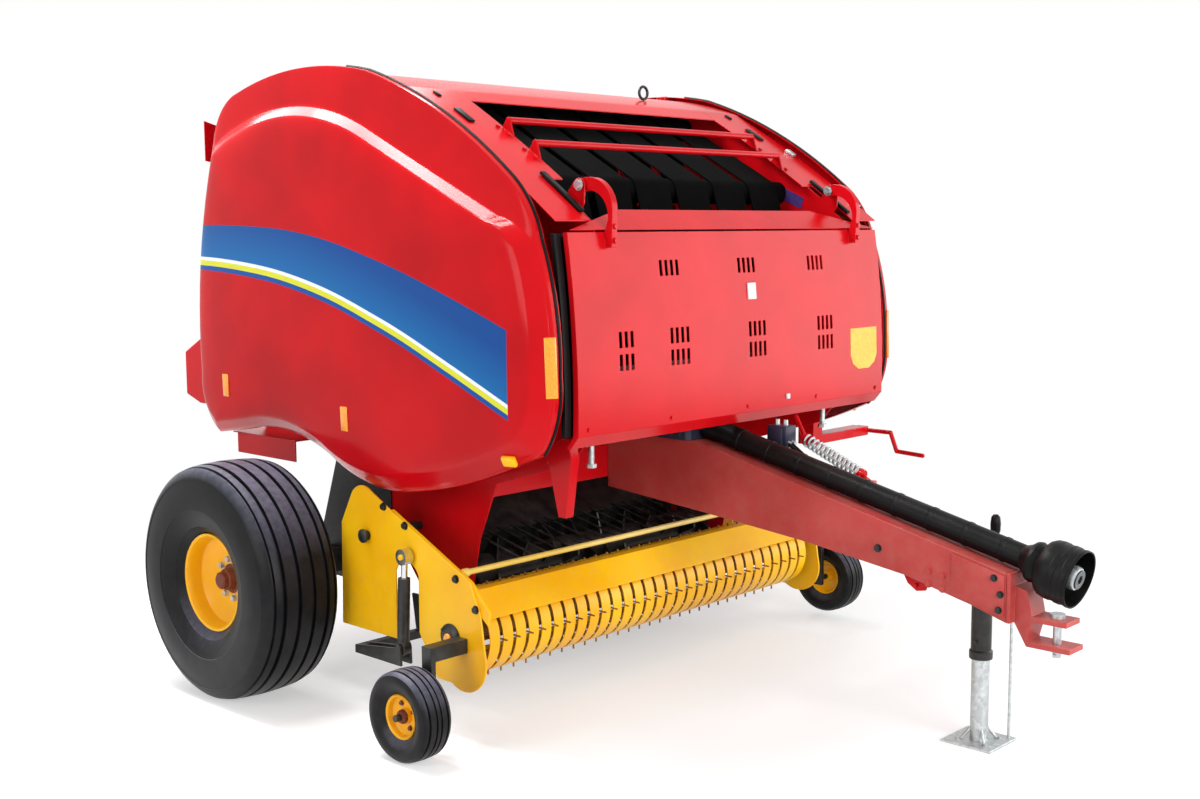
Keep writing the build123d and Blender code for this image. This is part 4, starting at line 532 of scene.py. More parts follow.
# Y of each ring of the shield, its share of the way down to the crease, and its inset
SHIELD_RINGS = (
    (1.0855, 0.0, 0.0),
    (1.122, 0.0, 0.0),
    (1.1315, 0.0, 0.002),
    (1.1345, 0.02, 0.006),
    (1.138, 0.30, 0.009),
    (1.141, 0.62, 0.011),
    (1.143, 0.88, 0.0125),
    (1.145, 0.97, 0.015),
    (1.148, 1.0, 0.018),
    (1.152, 1.0, 0.0225),
    (1.186, 1.0, 0.066),
    (1.1915, 1.0, 0.0745),
    (1.1955, 1.0, 0.086),
    (1.1995, 1.0, 0.108),
    (1.2035, 1.0, 0.145),
    (1.2075, 1.0, 0.205),
    (1.212, 1.0, 0.330),
    (1.216, 1.0, 0.540),
)


def arc(start, via, end, count):
    """Points along the arc through three points, without its start."""
    a, b, c = complex(*start), complex(*via), complex(*end)
    w = (c - a) / (b - a)
    middle = a + (b - a) * (w - abs(w) ** 2) / (2j * w.imag)
    radius = abs(a - middle)
    first = cmath.phase(a - middle)
    sweep = (cmath.phase(c - middle) - first) % (2 * math.pi)
    half = (cmath.phase(b - middle) - first) % (2 * math.pi)
    if half > sweep:
        sweep -= 2 * math.pi
    angles = [first + sweep * (i + 1) / count for i in range(count)]
    points = [middle + cmath.rect(radius, angle) for angle in angles]
    return [(point.real, point.imag) for point in points]


def shield_ring(shape, side, y, share, inset):
    """One closed ring of the shield's skin."""

    def drawn_in(*point):
        spans = zip(point, SHIELD_MIDDLE, SHIELD_REACH)
        return tuple(middle + (at - middle) * (1 - inset / reach) for at, middle, reach in spans)

    here = drawn_in(*SHIELD_START)
    points = [here]
    for via_x, via_z, end_x, end_z, via_fall, end_fall in SHIELD_ARCS:
        via = drawn_in(via_x, via_z - via_fall * share)
        end = drawn_in(end_x, end_z - end_fall * share)
        points += arc(here, via, end, 18 if abs(end[0] - here[0]) > 0.7 else 10)
        here = end
    verts = [shape.verts.new(spot(x, side * y, z)) for x, z in points]
    return [shape.edges.new(pair) for pair in zip(verts, verts[1:] + verts[:1])]


def shield(side, name, node, body):
    """Bulged shield: rings bridged into a skin, with a wall, hinge leaves and knuckles."""
    shape = bmesh.new()
    rings = [shield_ring(shape, side, *row) for row in SHIELD_RINGS]
    for outer, inner in zip(rings[:-1], rings[1:]):
        bmesh.ops.bridge_loops(shape, edges=outer + inner)
    middle = shape.faces.new([edge.verts[0] for edge in rings[-1]])
    poked = bmesh.ops.poke(shape, faces=[middle])
    poked["verts"][0].co.y = side * SHIELD_CROWN
    bmesh.ops.recalc_face_normals(shape, faces=shape.faces)
    tree = BVHTree.FromBMesh(shape)
    inside = spot(SHIELD_MIDDLE[0], 0, SHIELD_MIDDLE[1])
    for face in shape.faces:
        if face.normal.dot(face.calc_center_median() - inside) < 0:
            face.normal_flip()
    bmesh.ops.solidify(shape, geom=shape.faces[:], thickness=0.004)
    for x in (0.04, 0.36):
        slab(shape, (x - 0.025, x + 0.025), (side * 1.076, side * 1.125), (2.7475, 2.7555), 0.001)
        bar(shape, (x - 0.025, side * 1.074, 2.755), (x + 0.025, side * 1.074, 2.755), 0.009)
    made = piece(name, shape, "shield_paint", body, 38.0)
    even_shading(made)
    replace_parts(made, node)
    return tree


SHIELD_SKINS = {
    1: shield(1, "left_shield_skin", "side_shield_left", "shield_left"),
    -1: shield(-1, "right_shield_skin", "side_shield_right", "shield_right"),
}

# Black bulb seals along the shields' front edge
SEAL_START_X = 0.45
SEAL_Y = 1.100
for side, word in SIDES:
    path = [SHIELD_START]
    for via_x, via_z, end_x, end_z, _, _ in SHIELD_ARCS[:8]:
        path += arc(path[-1], (via_x, via_z), (end_x, end_z), 12)
    path = [(x, side * SEAL_Y, z) for x, z in path if x > SEAL_START_X]
    shape = bmesh.new()
    for start, end in zip(path[:-1], path[1:]):
        bar(shape, start, end, 0.0075, steps=10)
    piece(word + "_shield_seal", shape, "black_plastic", "shield_" + word)


def on_shield(name, side, body, x, z, size, material, edge):
    """Small part that lies on the shield's face, with its width, height and thickness."""
    place, out = meets(SHIELD_SKINS[side], spot(x, side * 3, z), (0, -side, 0))
    along = Vector((0, 0, 1)).cross(out).normalized()
    shape = bmesh.new()
    block(shape, place + out * size[2] * 0.4, (along, out.cross(along), out), size, edge)
    piece(name, shape, material, body)


for side, word in SIDES:
    body = "shield_" + word
    for index, (x, z) in enumerate(((-0.35, 1.35), (0.56, 1.27))):
        name = f"{word}_reflector_{index}"
        on_shield(name, side, body, x, z, (0.045, 0.105, 0.007), "amber", 0.003)
    latch = (0.060, 0.045, 0.02)
    on_shield(word + "_shield_latch", side, body, 1.53, 1.19, latch, "yellow", 0.006)
    # Long reflector on the rounded front corner, between two places met from outside
    inward = Vector((-1, -side, 0)).normalized()
    starts = (spot(2.245, side * 1.64, 1.440), spot(2.235, side * 1.64, 1.668))
    low, high = (meets(SHIELD_SKINS[side], start, inward)[0] for start in starts)
    axis = (high - low).normalized()
    across = axis.cross(-inward).normalized()
    size = (0.046, 0.012, (high - low).length)
    shape = bmesh.new()
    block(shape, (low + high) / 2, (across, across.cross(axis), axis), size, 0.003)
    piece(word + "_front_reflector", shape, "amber", body)

# Main wheels: ribbed tyres and dished rims, as radius and distance from the wheel's middle
TYRE_HALF = (
    (0.2065, 0.13), (0.219, 0.132), (0.23, 0.146), (0.248, 0.16), (0.252, 0.166), (0.295, 0.187),
    (0.33, 0.195), (0.332, 0.1975), (0.342, 0.1982), (0.38, 0.1995), (0.42, 0.1975),
    (0.452, 0.1925), (0.464, 0.1905), (0.466, 0.1925), (0.476, 0.1895), (0.494, 0.178),
    (0.506, 0.166), (0.511, 0.16), (0.503, 0.157), (0.504, 0.149), (0.515, 0.146),
    (0.5195, 0.128), (0.5205, 0.119), (0.507, 0.115), (0.507, 0.103), (0.5225, 0.099),
    (0.525, 0.052), (0.5255, 0.047), (0.511, 0.043), (0.511, 0.031), (0.5265, 0.027),
    (0.527, 0.01),
)
RIM_PROFILE = (
    (0.2055, 0.1297), (0.2165, 0.1303), (0.218, 0.1345), (0.2165, 0.1395), (0.211, 0.14),
    (0.205, 0.136), (0.2, 0.125), (0.1975, 0.11), (0.197, 0.08), (0.194, 0.069), (0.186, 0.062),
    (0.155, 0.048), (0.13, 0.036), (0.118, 0.0335), (0.06, 0.0335), (0.06, 0.025),
    (0.118, 0.025), (0.134, 0.029), (0.186, 0.053), (0.1905, 0.065), (0.191, -0.11),
    (0.196, -0.129), (0.206, -0.1395), (0.2165, -0.1395), (0.2165, -0.1303), (0.2055, -0.1297),
)
HUB_PROFILE = (
    (0, 0.012), (0.066, 0.012), (0.066, 0.036), (0.052, 0.04), (0.047, 0.068), (0.04, 0.074),
    (0.038, 0.092), (0.03, 0.099), (0, 0.1),
)
HUB_BACK = ((0.033, -0.02), (0.066, -0.02), (0.066, -0.065), (0.033, -0.065))
WHEEL_Y = 1.400
WHEEL_Z = 0.527
DISH_DEPTH = 0.0335

for side, word in SIDES:
    middle = (0, side * WHEEL_Y, WHEEL_Z)
    axis = (0, side, 0)
    body = "wheel_" + word
    shape = bmesh.new()
    lathe(shape, both_halves(TYRE_HALF), middle, axis, 96)
    tyre = piece(word + "_ribbed_tyre", shape, "tyre_rubber", body, 28.0)
    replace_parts(tyre, "tyre_" + word)
    shape = bmesh.new()
    lathe(shape, RIM_PROFILE, middle, axis, 80)
    rim = piece(word + "_dished_rim", shape, "yellow", body, 30.0)
    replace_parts(rim, "rim_" + word)
    shape = bmesh.new()
    lathe(shape, HUB_PROFILE, middle, axis, 40, closed=False)
    lathe(shape, HUB_BACK, middle, axis, 32)
    piece(word + "_hub", shape, "hub_iron", body)
    shape = bmesh.new()
    dish = (0, side * (WHEEL_Y + DISH_DEPTH), WHEEL_Z)
    bolt_circle(shape, dish, side, 0.088, 8, 0.2, 0.024, 0.014)
    valve = ((0.150, side * 1.452, WHEEL_Z + 0.095), (0.150, side * 1.490, WHEEL_Z + 0.100))
    bar(shape, *valve, 0.005)
    piece(word + "_wheel_bolts", shape, "zinc", body)

# Gauge wheels
GAUGE_HALF = (
    (0.0885, 0.044), (0.096, 0.05), (0.11, 0.063), (0.135, 0.0735), (0.152, 0.0745),
    (0.168, 0.069), (0.178, 0.057), (0.18, 0.05), (0.174, 0.048), (0.174, 0.042), (0.181, 0.04),
    (0.1825, 0.016), (0.177, 0.014), (0.177, 0.009), (0.183, 0.007),
)
GAUGE_RIM_HALF = (
    (0.0882, 0.0435), (0.09, 0.047), (0.087, 0.05), (0.08, 0.044), (0.076, 0.024),
    (0.066, 0.018), (0.03, 0.014), (0.03, 0.03), (0.0141, 0.03),
)
GAUGE_CAP = ((0, 0.030), (0.028, 0.030), (0.028, 0.040), (0.022, 0.049), (0, 0.051))
GAUGE_X = 1.224
GAUGE_Y = 1.425
GAUGE_FACE_Y = 1.4415

for side, word, height in ((1, "left", 0.228), (-1, "right", 0.183)):
    middle = (GAUGE_X, side * GAUGE_Y, height)
    axis = (0, side, 0)
    body = "gauge_" + word
    shape = bmesh.new()
    lathe(shape, both_halves(GAUGE_HALF), middle, axis, 64)
    tyre = piece(word + "_small_tyre", shape, "tyre_rubber", body, 28.0)
    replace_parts(tyre, "gauge_tyre_" + word)
    shape = bmesh.new()
    lathe(shape, both_halves(GAUGE_RIM_HALF), middle, axis, 48)
    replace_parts(piece(word + "_small_rim", shape, "yellow", body), "gauge_rim_" + word)
    shape = bmesh.new()
    lathe(shape, GAUGE_CAP, middle, axis, 32, closed=False)
    face = (GAUGE_X, side * GAUGE_FACE_Y, height)
    bolt_circle(shape, face, side, 0.052, 4, 0.5, 0.015, 0.008)
    piece(word + "_small_cap", shape, "hub_iron", body)

# Front door: blank patch, emblem and lock, on a skin given as height and X
DOOR_SKIN = ((1.285, 1.778), (1.50, 1.7745), (1.72, 1.766), (1.90, 1.7510), (2.054, 1.7290))


def door_x(z):
    """X of the door's outer skin at a height."""
    spans = zip(DOOR_SKIN[:-1], DOOR_SKIN[1:])
    (low, low_x), (high, high_x) = next(span for span in spans if z <= span[1][0])
    return low_x + (high_x - low_x) * (z - low) / (high - low)


def on_door(name, y_ends, z_ends, thick, edge):
    """Thin pale part on the door's skin."""
    shape = bmesh.new()
    made = bmesh.ops.create_cube(shape, size=1)
    for vert in made["verts"]:
        y, z = y_ends[vert.co.y > 0], z_ends[vert.co.z > 0]
        vert.co = spot(door_x(z) + (thick if vert.co.x > 0 else -0.002), y, z)
    round_edges(shape, edges_at(made["verts"]), edge)
    piece(name, shape, "pale_plastic", "front_door")


# Outline of the patch as Y and height, its front proud of the skin and its back below it
PATCH = (
    (0.77, 1.6), (0.985, 1.6), (0.985, 1.475), (0.965, 1.435), (0.92, 1.41), (0.835, 1.41),
    (0.79, 1.435), (0.77, 1.475),
)
PATCH_PROUD = 0.0045
PATCH_DEPTH = 0.0065
shape = bmesh.new()
corners = [shape.verts.new(spot(door_x(z) + PATCH_PROUD, y, z)) for y, z in PATCH]
moved = bmesh.ops.extrude_face_region(shape, geom=[shape.faces.new(corners)])["geom"]
back = [part for part in moved if isinstance(part, bmesh.types.BMVert)]
bmesh.ops.translate(shape, verts=back, vec=(-PATCH_DEPTH, 0, 0))
piece("door_blank_patch", shape, "yellow_film", "front_door")
on_door("door_blank_emblem", (0.012, 0.068), (1.765, 1.835), 0.006, 0.0026)
on_door("door_lock", (0.268, 0.292), (1.318, 1.342), 0.010, 0.004)

# Rounded sheet edges and arrises, in millimetres, on the nodes that keep their CAD form
EDGE_WIDTHS = {
    "front_door": 1.6,
    "door_head": 1.6,
    "top_rails": 1.8,
    "roof_panel": 2.0,
    "corner_panels": 1.6,
    "frame_side_sheets": 1.6,
    "tailgate_shell": 1.4,
    "lamp_boxes": 7.0,
    "lamp_lenses": 3.0,
    "tongue": 4.0,
    "cross_beam": 4.0,
    "hitch_clevis": 3.0,
    "left_outrigger": 3.0,
    "right_bracket": 3.0,
    "pickup_sides": 2.6,
    "pickup_beam": 1.8,
    "pickup_pivots": 2.0,
    "gauge_arms": 3.0,
    "axle": 4.0,
    "jack_tube": 1.8,
    "jack_leg": 2.5,
    "jack_handle": 3.0,
    "gearbox": 4.0,
    "pto_shaft": 1.5,
    "lift_cylinder_barrel": 2.0,
    "tail_cylinder_barrel": 2.0,
}
WORN_NODES = ("tongue", "hitch_clevis")
for name, width in EDGE_WIDTHS.items():
    softened(name, width / 1000, "worn_red" if name in WORN_NODES else slots[name])
OWN_FINISH = {
    "pickup_reel": "tine_paint",
    "crank_handle": "red",
    # Front belt rollers in black belt rubber: rubber-clad rollers, and also painted shade, as dark
    # as the shaded inside of the chamber
    "front_belt_rollers": "belt_rubber",
}
for name, material in OWN_FINISH.items():
    frame["nodes"][name].data.materials[0] = MATERIALS[material]

# Driveline: ribbed guard with a cone behind and a double bell in front

PTO_REAR = (1.560, 0, 1.205)
PTO_AXIS = (1.580, 0, -0.370)
GUARD_RIB = ((0.046, -0.009), (0.0485, -0.006), (0.0485, 0.006), (0.046, 0.009))
RIB_COUNT = 9
RIB_START = 0.19
RIB_PITCH = 0.16
guard_profile = [(0.0242, 0.0), (0.047, 0.0), (0.053, 0.004), (0.053, 0.024), (0.050, 0.060)]
guard_profile.append((0.046, 0.085))
for index in range(RIB_COUNT):
    along = RIB_START + index * RIB_PITCH
    guard_profile += [(radius, along + step) for radius, step in GUARD_RIB]
guard_profile += [
    (0.046, 1.545), (0.06, 1.57), (0.075, 1.584), (0.079, 1.598), (0.075, 1.612), (0.072, 1.619),
    (0.078, 1.624), (0.098, 1.636), (0.108, 1.652), (0.1115, 1.672), (0.1115, 1.69),
    (0.109, 1.694), (0.109, 1.712), (0.1115, 1.716), (0.1115, 1.734), (0.109, 1.738),
    (0.109, 1.756), (0.1115, 1.76), (0.1105, 1.772), (0.106, 1.77), (0.105, 1.66), (0.09, 1.64),
    (0.06, 1.625), (0.042, 1.6), (0.041, 0.03), (0.0242, 0.03),
]
shape = bmesh.new()
lathe(shape, guard_profile, PTO_REAR, PTO_AXIS, 56)
guard = piece("ribbed_guard", shape, "black_plastic", "frame", 26.0)
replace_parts(guard, "pto_guard")

pto_way = Vector(PTO_AXIS).normalized()


def on_pto(along, turn, out):
    """Place along the driveline, a distance out from its axis."""
    up = Vector((-pto_way.z, 0, pto_way.x))
    aside = pto_way.cross(up)
    start = Vector(PTO_REAR) + pto_way * along
    return start + (up * math.cos(turn) + aside * math.sin(turn)) * out


# Coupling: locking collar with four screws, and a splined mouth
COUPLING_COLLAR = (
    (0.0362, 1.735), (0.043, 1.737), (0.045, 1.745), (0.045, 1.757), (0.042, 1.764),
    (0.0362, 1.766),
)
shape = bmesh.new()
lathe(shape, COUPLING_COLLAR, PTO_REAR, PTO_AXIS, 40)
for step in range(4):
    turn = step * math.pi / 2 + 0.6
    bar(shape, on_pto(1.690, turn, 0.032), on_pto(1.690, turn, 0.050), 0.009)
piece("coupling_collar", shape, "zinc", "pto_shaft")
shape = bmesh.new()
for step in range(6):
    turn = step * math.pi / 3
    bar(shape, on_pto(1.715, turn, 0.0165), on_pto(1.772, turn, 0.0165), 0.0028, steps=8)
piece("coupling_splines", shape, "steel", "pto_shaft")

# Gearbox cover, ribs, breather and bolts
shape = bmesh.new()
slab(shape, (1.375, 1.525), (-0.095, 0.095), (1.2775, 1.2865), 0.003)
for y in (-0.07, 0.0, 0.07):
    slab(shape, (1.349, 1.356), (y - 0.006, y + 0.006), (1.165, 1.262), 0.002)
for x in (1.40, 1.45, 1.50):
    slab(shape, (x - 0.005, x + 0.005), (-0.127, -0.119), (1.165, 1.255), 0.002)
bar(shape, (1.47, 0.03, 1.285), (1.47, 0.03, 1.303), 0.011)
piece("gearbox_cover", shape, "gearbox_iron", "frame")
shape = bmesh.new()
for x in (1.388, 1.450, 1.512):
    for y in (-0.082, 0.082):
        bolt(shape, (x, y, 1.2863), (0, 0, 1), 0.014, 0.007)
piece("gearbox_bolts", shape, "zinc", "frame")

# Valve block beside the tongue, with its pipes clipped along the top
TONGUE_SKIN = 0.0922
TONGUE_CLEAR = 0.0925
shape = bmesh.new()
slab(shape, (1.800, 1.900), (0.104, 0.180), (1.128, 1.222), 0.004)
for x in (1.812, 1.860):
    slab(shape, (x, x + 0.024), (0.180, 0.196), (1.148, 1.200), 0.003)
slab(shape, (1.815, 1.885), (TONGUE_CLEAR, 0.104), (0.990, 1.215), 0.002)
piece("valve_block", shape, "gearbox_iron", "frame")
shape = bmesh.new()
for x in (1.828, 1.872):
    bar(shape, (x, 0.142, 1.222), (x, 0.142, 1.246), 0.010, steps=6)
for y in (0.122, 0.150):
    bar(shape, (1.900, y, 1.152), (1.918, y, 1.146), 0.010, steps=6)
for x in (1.830, 1.870):
    bolt(shape, (x, 0.104, 1.020), (0, 1, 0), 0.014, 0.007)
piece("valve_fittings", shape, "zinc", "frame")
PIPE_ROUTE = ((1.915, 1.147), (2.010, 1.085), (2.200, 1.022), (2.670, 0.912), (2.980, 0.838))
PIPE_RADIUS = 0.0075
for index, y in enumerate((0.108, 0.128)):
    shape = bmesh.new()
    for (x1, z1), (x2, z2) in zip(PIPE_ROUTE[:-1], PIPE_ROUTE[1:]):
        bar(shape, (x1, y, z1), (x2, y, z2), PIPE_RADIUS, steps=12)
        knee = Matrix.Translation(spot(x2, y, z2))
        bmesh.ops.create_icosphere(shape, subdivisions=2, radius=PIPE_RADIUS, matrix=knee)
    piece("tongue_pipe_%d" % index, shape, "black_plastic", "frame")
# Each clip: a leaf under the pipes, one over them and a foot on the tongue's side
CLIP_LEAVES = ((0.140, -0.016, -0.007), (0.140, 0.008, 0.013), (0.098, -0.060, 0.013))
shape = bmesh.new()
for x, z in ((2.10, 1.055), (2.45, 0.963), (2.80, 0.881)):
    for reach, low, high in CLIP_LEAVES:
        y_ends = (TONGUE_CLEAR, reach)
        slab(shape, (x - 0.014, x + 0.014), y_ends, (z + low, z + high), 0.002)
piece("pipe_clips", shape, "black_paint", "frame")
# Spring of the pickup's lift, from the strap under the door to the tongue


def coil(shape, start, end, radius, wire, turns):
    """Round wire wound about the line between two places, with closed ends."""
    start = spot(*start)
    end = spot(*end)
    axis = (end - start).normalized()
    out = axis.orthogonal().normalized()
    turn = Matrix((out, axis, out.cross(axis))).transposed().to_4x4()
    place = Matrix.Translation(start + out * radius) @ turn
    ring = bmesh.ops.create_circle(shape, cap_ends=False, segments=8, radius=wire, matrix=place)
    verts = ring["verts"]
    edges = edges_at(verts)
    steps = turns * 18
    bmesh.ops.spin(
        shape,
        geom=verts + edges,
        cent=start,
        axis=axis,
        dvec=(end - start) / steps,
        angle=turns * 2 * math.pi,
        steps=steps,
        use_merge=False,
        use_duplicate=False,
    )
    bmesh.ops.holes_fill(shape, edges=[e for e in shape.edges if e.is_boundary], sides=0)


SPRING_START = (1.965, 0.165, 1.165)
SPRING_END = (2.250, 0.150, 1.050)
shape = bmesh.new()
coil(shape, SPRING_START, SPRING_END, 0.024, 0.0052, 13)
piece("lift_spring", shape, "zinc", "frame")
shape = bmesh.new()
bar(shape, (1.790, 0.330, 1.235), (1.955, 0.172, 1.169), 0.010)
bar(shape, (1.955, 0.172, 1.169), (1.972, 0.163, 1.162), 0.026, steps=20)
bar(shape, (2.245, 0.151, 1.052), (2.262, 0.148, 1.046), 0.026, steps=20)
bar(shape, (2.262, 0.148, 1.046), (2.310, 0.136, 1.026), 0.008)
slab(shape, (2.290, 2.335), (TONGUE_CLEAR, 0.142), (0.965, 1.036), 0.003)
piece("spring_ends", shape, "red", "frame")

# Tongue: bolted doublers at the hitch, a cross bolt and a hose bracket below
DOUBLER = ((2.820, 0.688), (3.040, 0.634), (3.040, 0.792), (2.820, 0.846))
DOUBLER_THICK = 0.007
for side, word in SIDES:
    skin = side * TONGUE_SKIN
    outer = skin + side * DOUBLER_THICK
    shape = bmesh.new()
    plate(shape, DOUBLER, skin, outer, 0.0025)
    piece(word + "_tongue_doubler", shape, "worn_red", "frame")
    shape = bmesh.new()
    for x, z in ((2.999, 0.780), (3.020, 0.662), (3.026, 0.722)):
        bolt(shape, (x, outer, z), (0, side, 0), 0.019, 0.009)
    bolt(shape, (2.494, skin, 0.816), (0, side, 0), 0.022, 0.010)
    piece(word + "_tongue_bolts", shape, "black_paint", "frame")
HOSE_BRACKET = ((2.585, 0.733), (2.700, 0.706), (2.690, 0.672), (2.650, 0.664), (2.610, 0.690))
shape = bmesh.new()
plate(shape, HOSE_BRACKET, -0.060, -0.050, 0.002)
bar(shape, (2.650, -0.075, 0.688), (2.650, -0.035, 0.688), 0.009)
piece("hose_bracket", shape, "red", "frame")

# Hitch pin with its collar and ring clip
HITCH_X = 3.205
shape = bmesh.new()
bar(shape, (HITCH_X, 0, 0.500), (HITCH_X, 0, 0.660), 0.0155, steps=24)
bar(shape, (HITCH_X, 0, 0.6482), (HITCH_X, 0, 0.664), 0.027, steps=24)
bar(shape, (HITCH_X, -0.030, 0.512), (HITCH_X, 0.030, 0.512), 0.0035, steps=8)
piece("hitch_pin", shape, "zinc", "frame")

# Pickup: row of guard tines on a pale rod
ROD_X = 1.200
ROD_Z = 0.688
TINE_COUNT = 22
TINE_PITCH = 0.074
shape = bmesh.new()
bar(shape, (ROD_X, -1.1197, ROD_Z), (ROD_X, 1.1197, ROD_Z), 0.0122, steps=20)
for y in (-1.104, 1.104):
    bar(shape, (ROD_X, y - 0.012, ROD_Z), (ROD_X, y + 0.012, ROD_Z), 0.0175, steps=20)
rod = piece("guard_rod", shape, "pale_cream_yellow", "pickup")
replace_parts(rod, "windguard")
shape = bmesh.new()
for index in range(TINE_COUNT):
    y = (index - (TINE_COUNT - 1) / 2) * TINE_PITCH
    bar(shape, (1.196, y, 0.689), (0.960, y, 0.739), 0.0052, steps=8)
    bar(shape, (0.960, y, 0.739), (0.870, y, 0.757), 0.0052, 0.0038, steps=8)
piece("guard_tines", shape, "black_paint", "pickup")

# Pickup's sides: the reel's bearings with their caps, bolts and the hinge's caps
PICKUP_SKIN = 1.1452
BEARING = (
    (0.0215, 0.0), (0.058, 0.0), (0.058, 0.005), (0.046, 0.009), (0.036, 0.016), (0.0215, 0.016),
)
BEARING_CAP = ((0, 0.0165), (0.020, 0.0165), (0.020, 0.021), (0.016, 0.026), (0, 0.027))
HINGE_CAP = ((0, 0.020), (0.030, 0.020), (0.030, 0.028), (0.020, 0.034), (0, 0.036))
for side, word in SIDES:
    outer = side * PICKUP_SKIN
    axis = (0, side, 0)
    reel_x, reel_z = REEL_MIDDLE
    hinge_x, hinge_z = PICKUP_HINGE
    shape = bmesh.new()
    lathe(shape, BEARING, (reel_x, outer, reel_z), axis, 36)
    piece(word + "_reel_bearing", shape, "black_paint", "pickup")
    shape = bmesh.new()
    lathe(shape, BEARING_CAP, (reel_x, outer, reel_z), axis, 28, closed=False)
    piece(word + "_reel_cap", shape, "amber", "pickup")
    shape = bmesh.new()
    for x, z in ((1.188, 0.667), (1.306, 0.561), (0.870, 0.842), (0.730, 0.905)):
        bolt(shape, (x, outer, z), axis, 0.024, 0.010)
    face = (reel_x, outer + side * 0.004, reel_z)
    bolt_circle(shape, face, side, 0.050, 3, 0.5, 0.012, 0.006)
    lathe(shape, HINGE_CAP, (hinge_x, side * 1.145, hinge_z), axis, 24, closed=False)
    piece(word + "_pickup_bolts", shape, "black_paint", "pickup")

# Feed throat: pan under the rotor, and on three ribs the floor that rises behind it
THROAT_Y = 0.8460
FLOOR_SHEET = ((0.6500, 0.6740), (0.330, 0.850), (0.333, 0.855), (0.6535, 0.6790))
FLOOR_RIB = ((0.640, 0.660), (0.540, 0.690), (0.480, 0.762), (0.640, 0.675))
rotor_x, rotor_z = ROTOR_MIDDLE
pan = []
for radius, angles in ((0.186, range(-58, -219, -8)), (0.191, range(-218, -57, 8))):
    for turn in map(math.radians, angles):
        pan.append((rotor_x + radius * math.cos(turn), rotor_z + radius * math.sin(turn)))
shape = bmesh.new()
plate(shape, pan, -THROAT_Y, THROAT_Y)
plate(shape, FLOOR_SHEET, -THROAT_Y, THROAT_Y)
for y in (-0.55, 0, 0.55):
    plate(shape, FLOOR_RIB, y - 0.004, y + 0.004)
piece("feed_floor", shape, "black_paint", "frame")

# Door: hinge nuts, bolts of the hinge arms and the lower edge, latches on the chamber's walls
WALL_Y = 0.8465
shape = bmesh.new()
for side in (1, -1):
    for y, way in ((0.8595, 1), (0.8035, -1)):
        bolt(shape, (1.615, side * y, 2.235), (0, side * way, 0), 0.030, 0.010)
piece("door_hinge_nuts", shape, "zinc", "frame")
shape = bmesh.new()
for y in (0.823, -0.823):
    for z in (2.020, 2.075):
        bolt(shape, (1.7692, y, z), (1, 0, 0), 0.018, 0.008)
for y in (-0.98, -0.5, 0.0, 0.5, 0.98):
    bolt(shape, (door_x(1.310), y, 1.310), (1, 0, 0), 0.014, 0.005)
piece("door_bolts", shape, "red", "front_door")
for side, word in SIDES:
    wall, leaf, pin, tip = (side * (WALL_Y - inward) for inward in (0, 0.006, 0.055, 0.070))
    shape = bmesh.new()
    slab(shape, (1.572, 1.640), (wall, leaf), (1.215, 1.290), 0.002)
    slab(shape, (1.590, 1.628), (leaf, tip), (1.222, 1.229), 0.002)
    bar(shape, (1.609, pin, 1.226), (1.609, pin, 1.125), 0.012)
    bar(shape, (1.609, pin, 1.140), (1.609, pin, 1.125), 0.021, steps=6)
    piece(word + "_door_latch", shape, "zinc", "frame")


RAIL_SKIN = skin_of("top_rails")


def rail_at(x, y):
    """Place on top of the rails, and the way their face looks there."""
    return meets(RAIL_SKIN, spot(x, y, 4), (0, 0, -1))


def on_rail(shape, x, y, size, edge):
    """Flat part that lies on the rails, with its length, width and thickness."""
    place, out = rail_at(x, y)
    aside = Vector((0, 1, 0))
    along = aside.cross(out).normalized()
    block(shape, place + out * size[2] * 0.45, (along, aside, out), size, edge)


# Rails: black oblong blocks, black plates that paint the shade in the slots at their front ends and
# cover the notches there, bolts of the cross tubes and catches on the left lip
shape = bmesh.new()
for side in (1, -1):
    on_rail(shape, 1.065, side * 0.955, (0.110, 0.034, 0.010), 0.004)
    on_rail(shape, 0.900, side * 0.955, (0.040, 0.020, 0.008), 0.003)
piece("rail_black_oblongs", shape, "black_plastic", "frame")
# Painted shade: black plates at the rails' front notches by the door hinges, standing for the dark
# slots there
RAIL_SLOT_SHADE = ((1.450, 2.2805), (1.664, 2.1285), (1.672, 2.1405), (1.458, 2.2925))
shape = bmesh.new()
for side in (1, -1):
    plate(shape, RAIL_SLOT_SHADE, side * 0.884, side * 0.910, 0.003)
piece("rail_slot_shade", shape, "black_plastic", "frame")
shape = bmesh.new()
for side in (1, -1):
    for x in (1.135, 1.195, 1.290, 1.350):
        place, out = rail_at(x, side * 0.835)
        bar(shape, from_axle(place), from_axle(place) + out * 0.009, 0.010, steps=6)
piece("rail_bolts", shape, "red", "frame")
shape = bmesh.new()
for x in (1.22, 1.60):
    on_rail(shape, x, 1.045, (0.055, 0.030, 0.016), 0.004)
piece("rail_catches", shape, "zinc", "frame")

# Blank plate on the chamber's left wall
WALL_PLATE = ((1.250, 2.235), (1.270, 2.285), (1.450, 2.205), (1.430, 2.155))
shape = bmesh.new()
plate(shape, WALL_PLATE, WALL_Y, WALL_Y - 0.002)
piece("blank_wall_plate", shape, "blue_film", "frame")

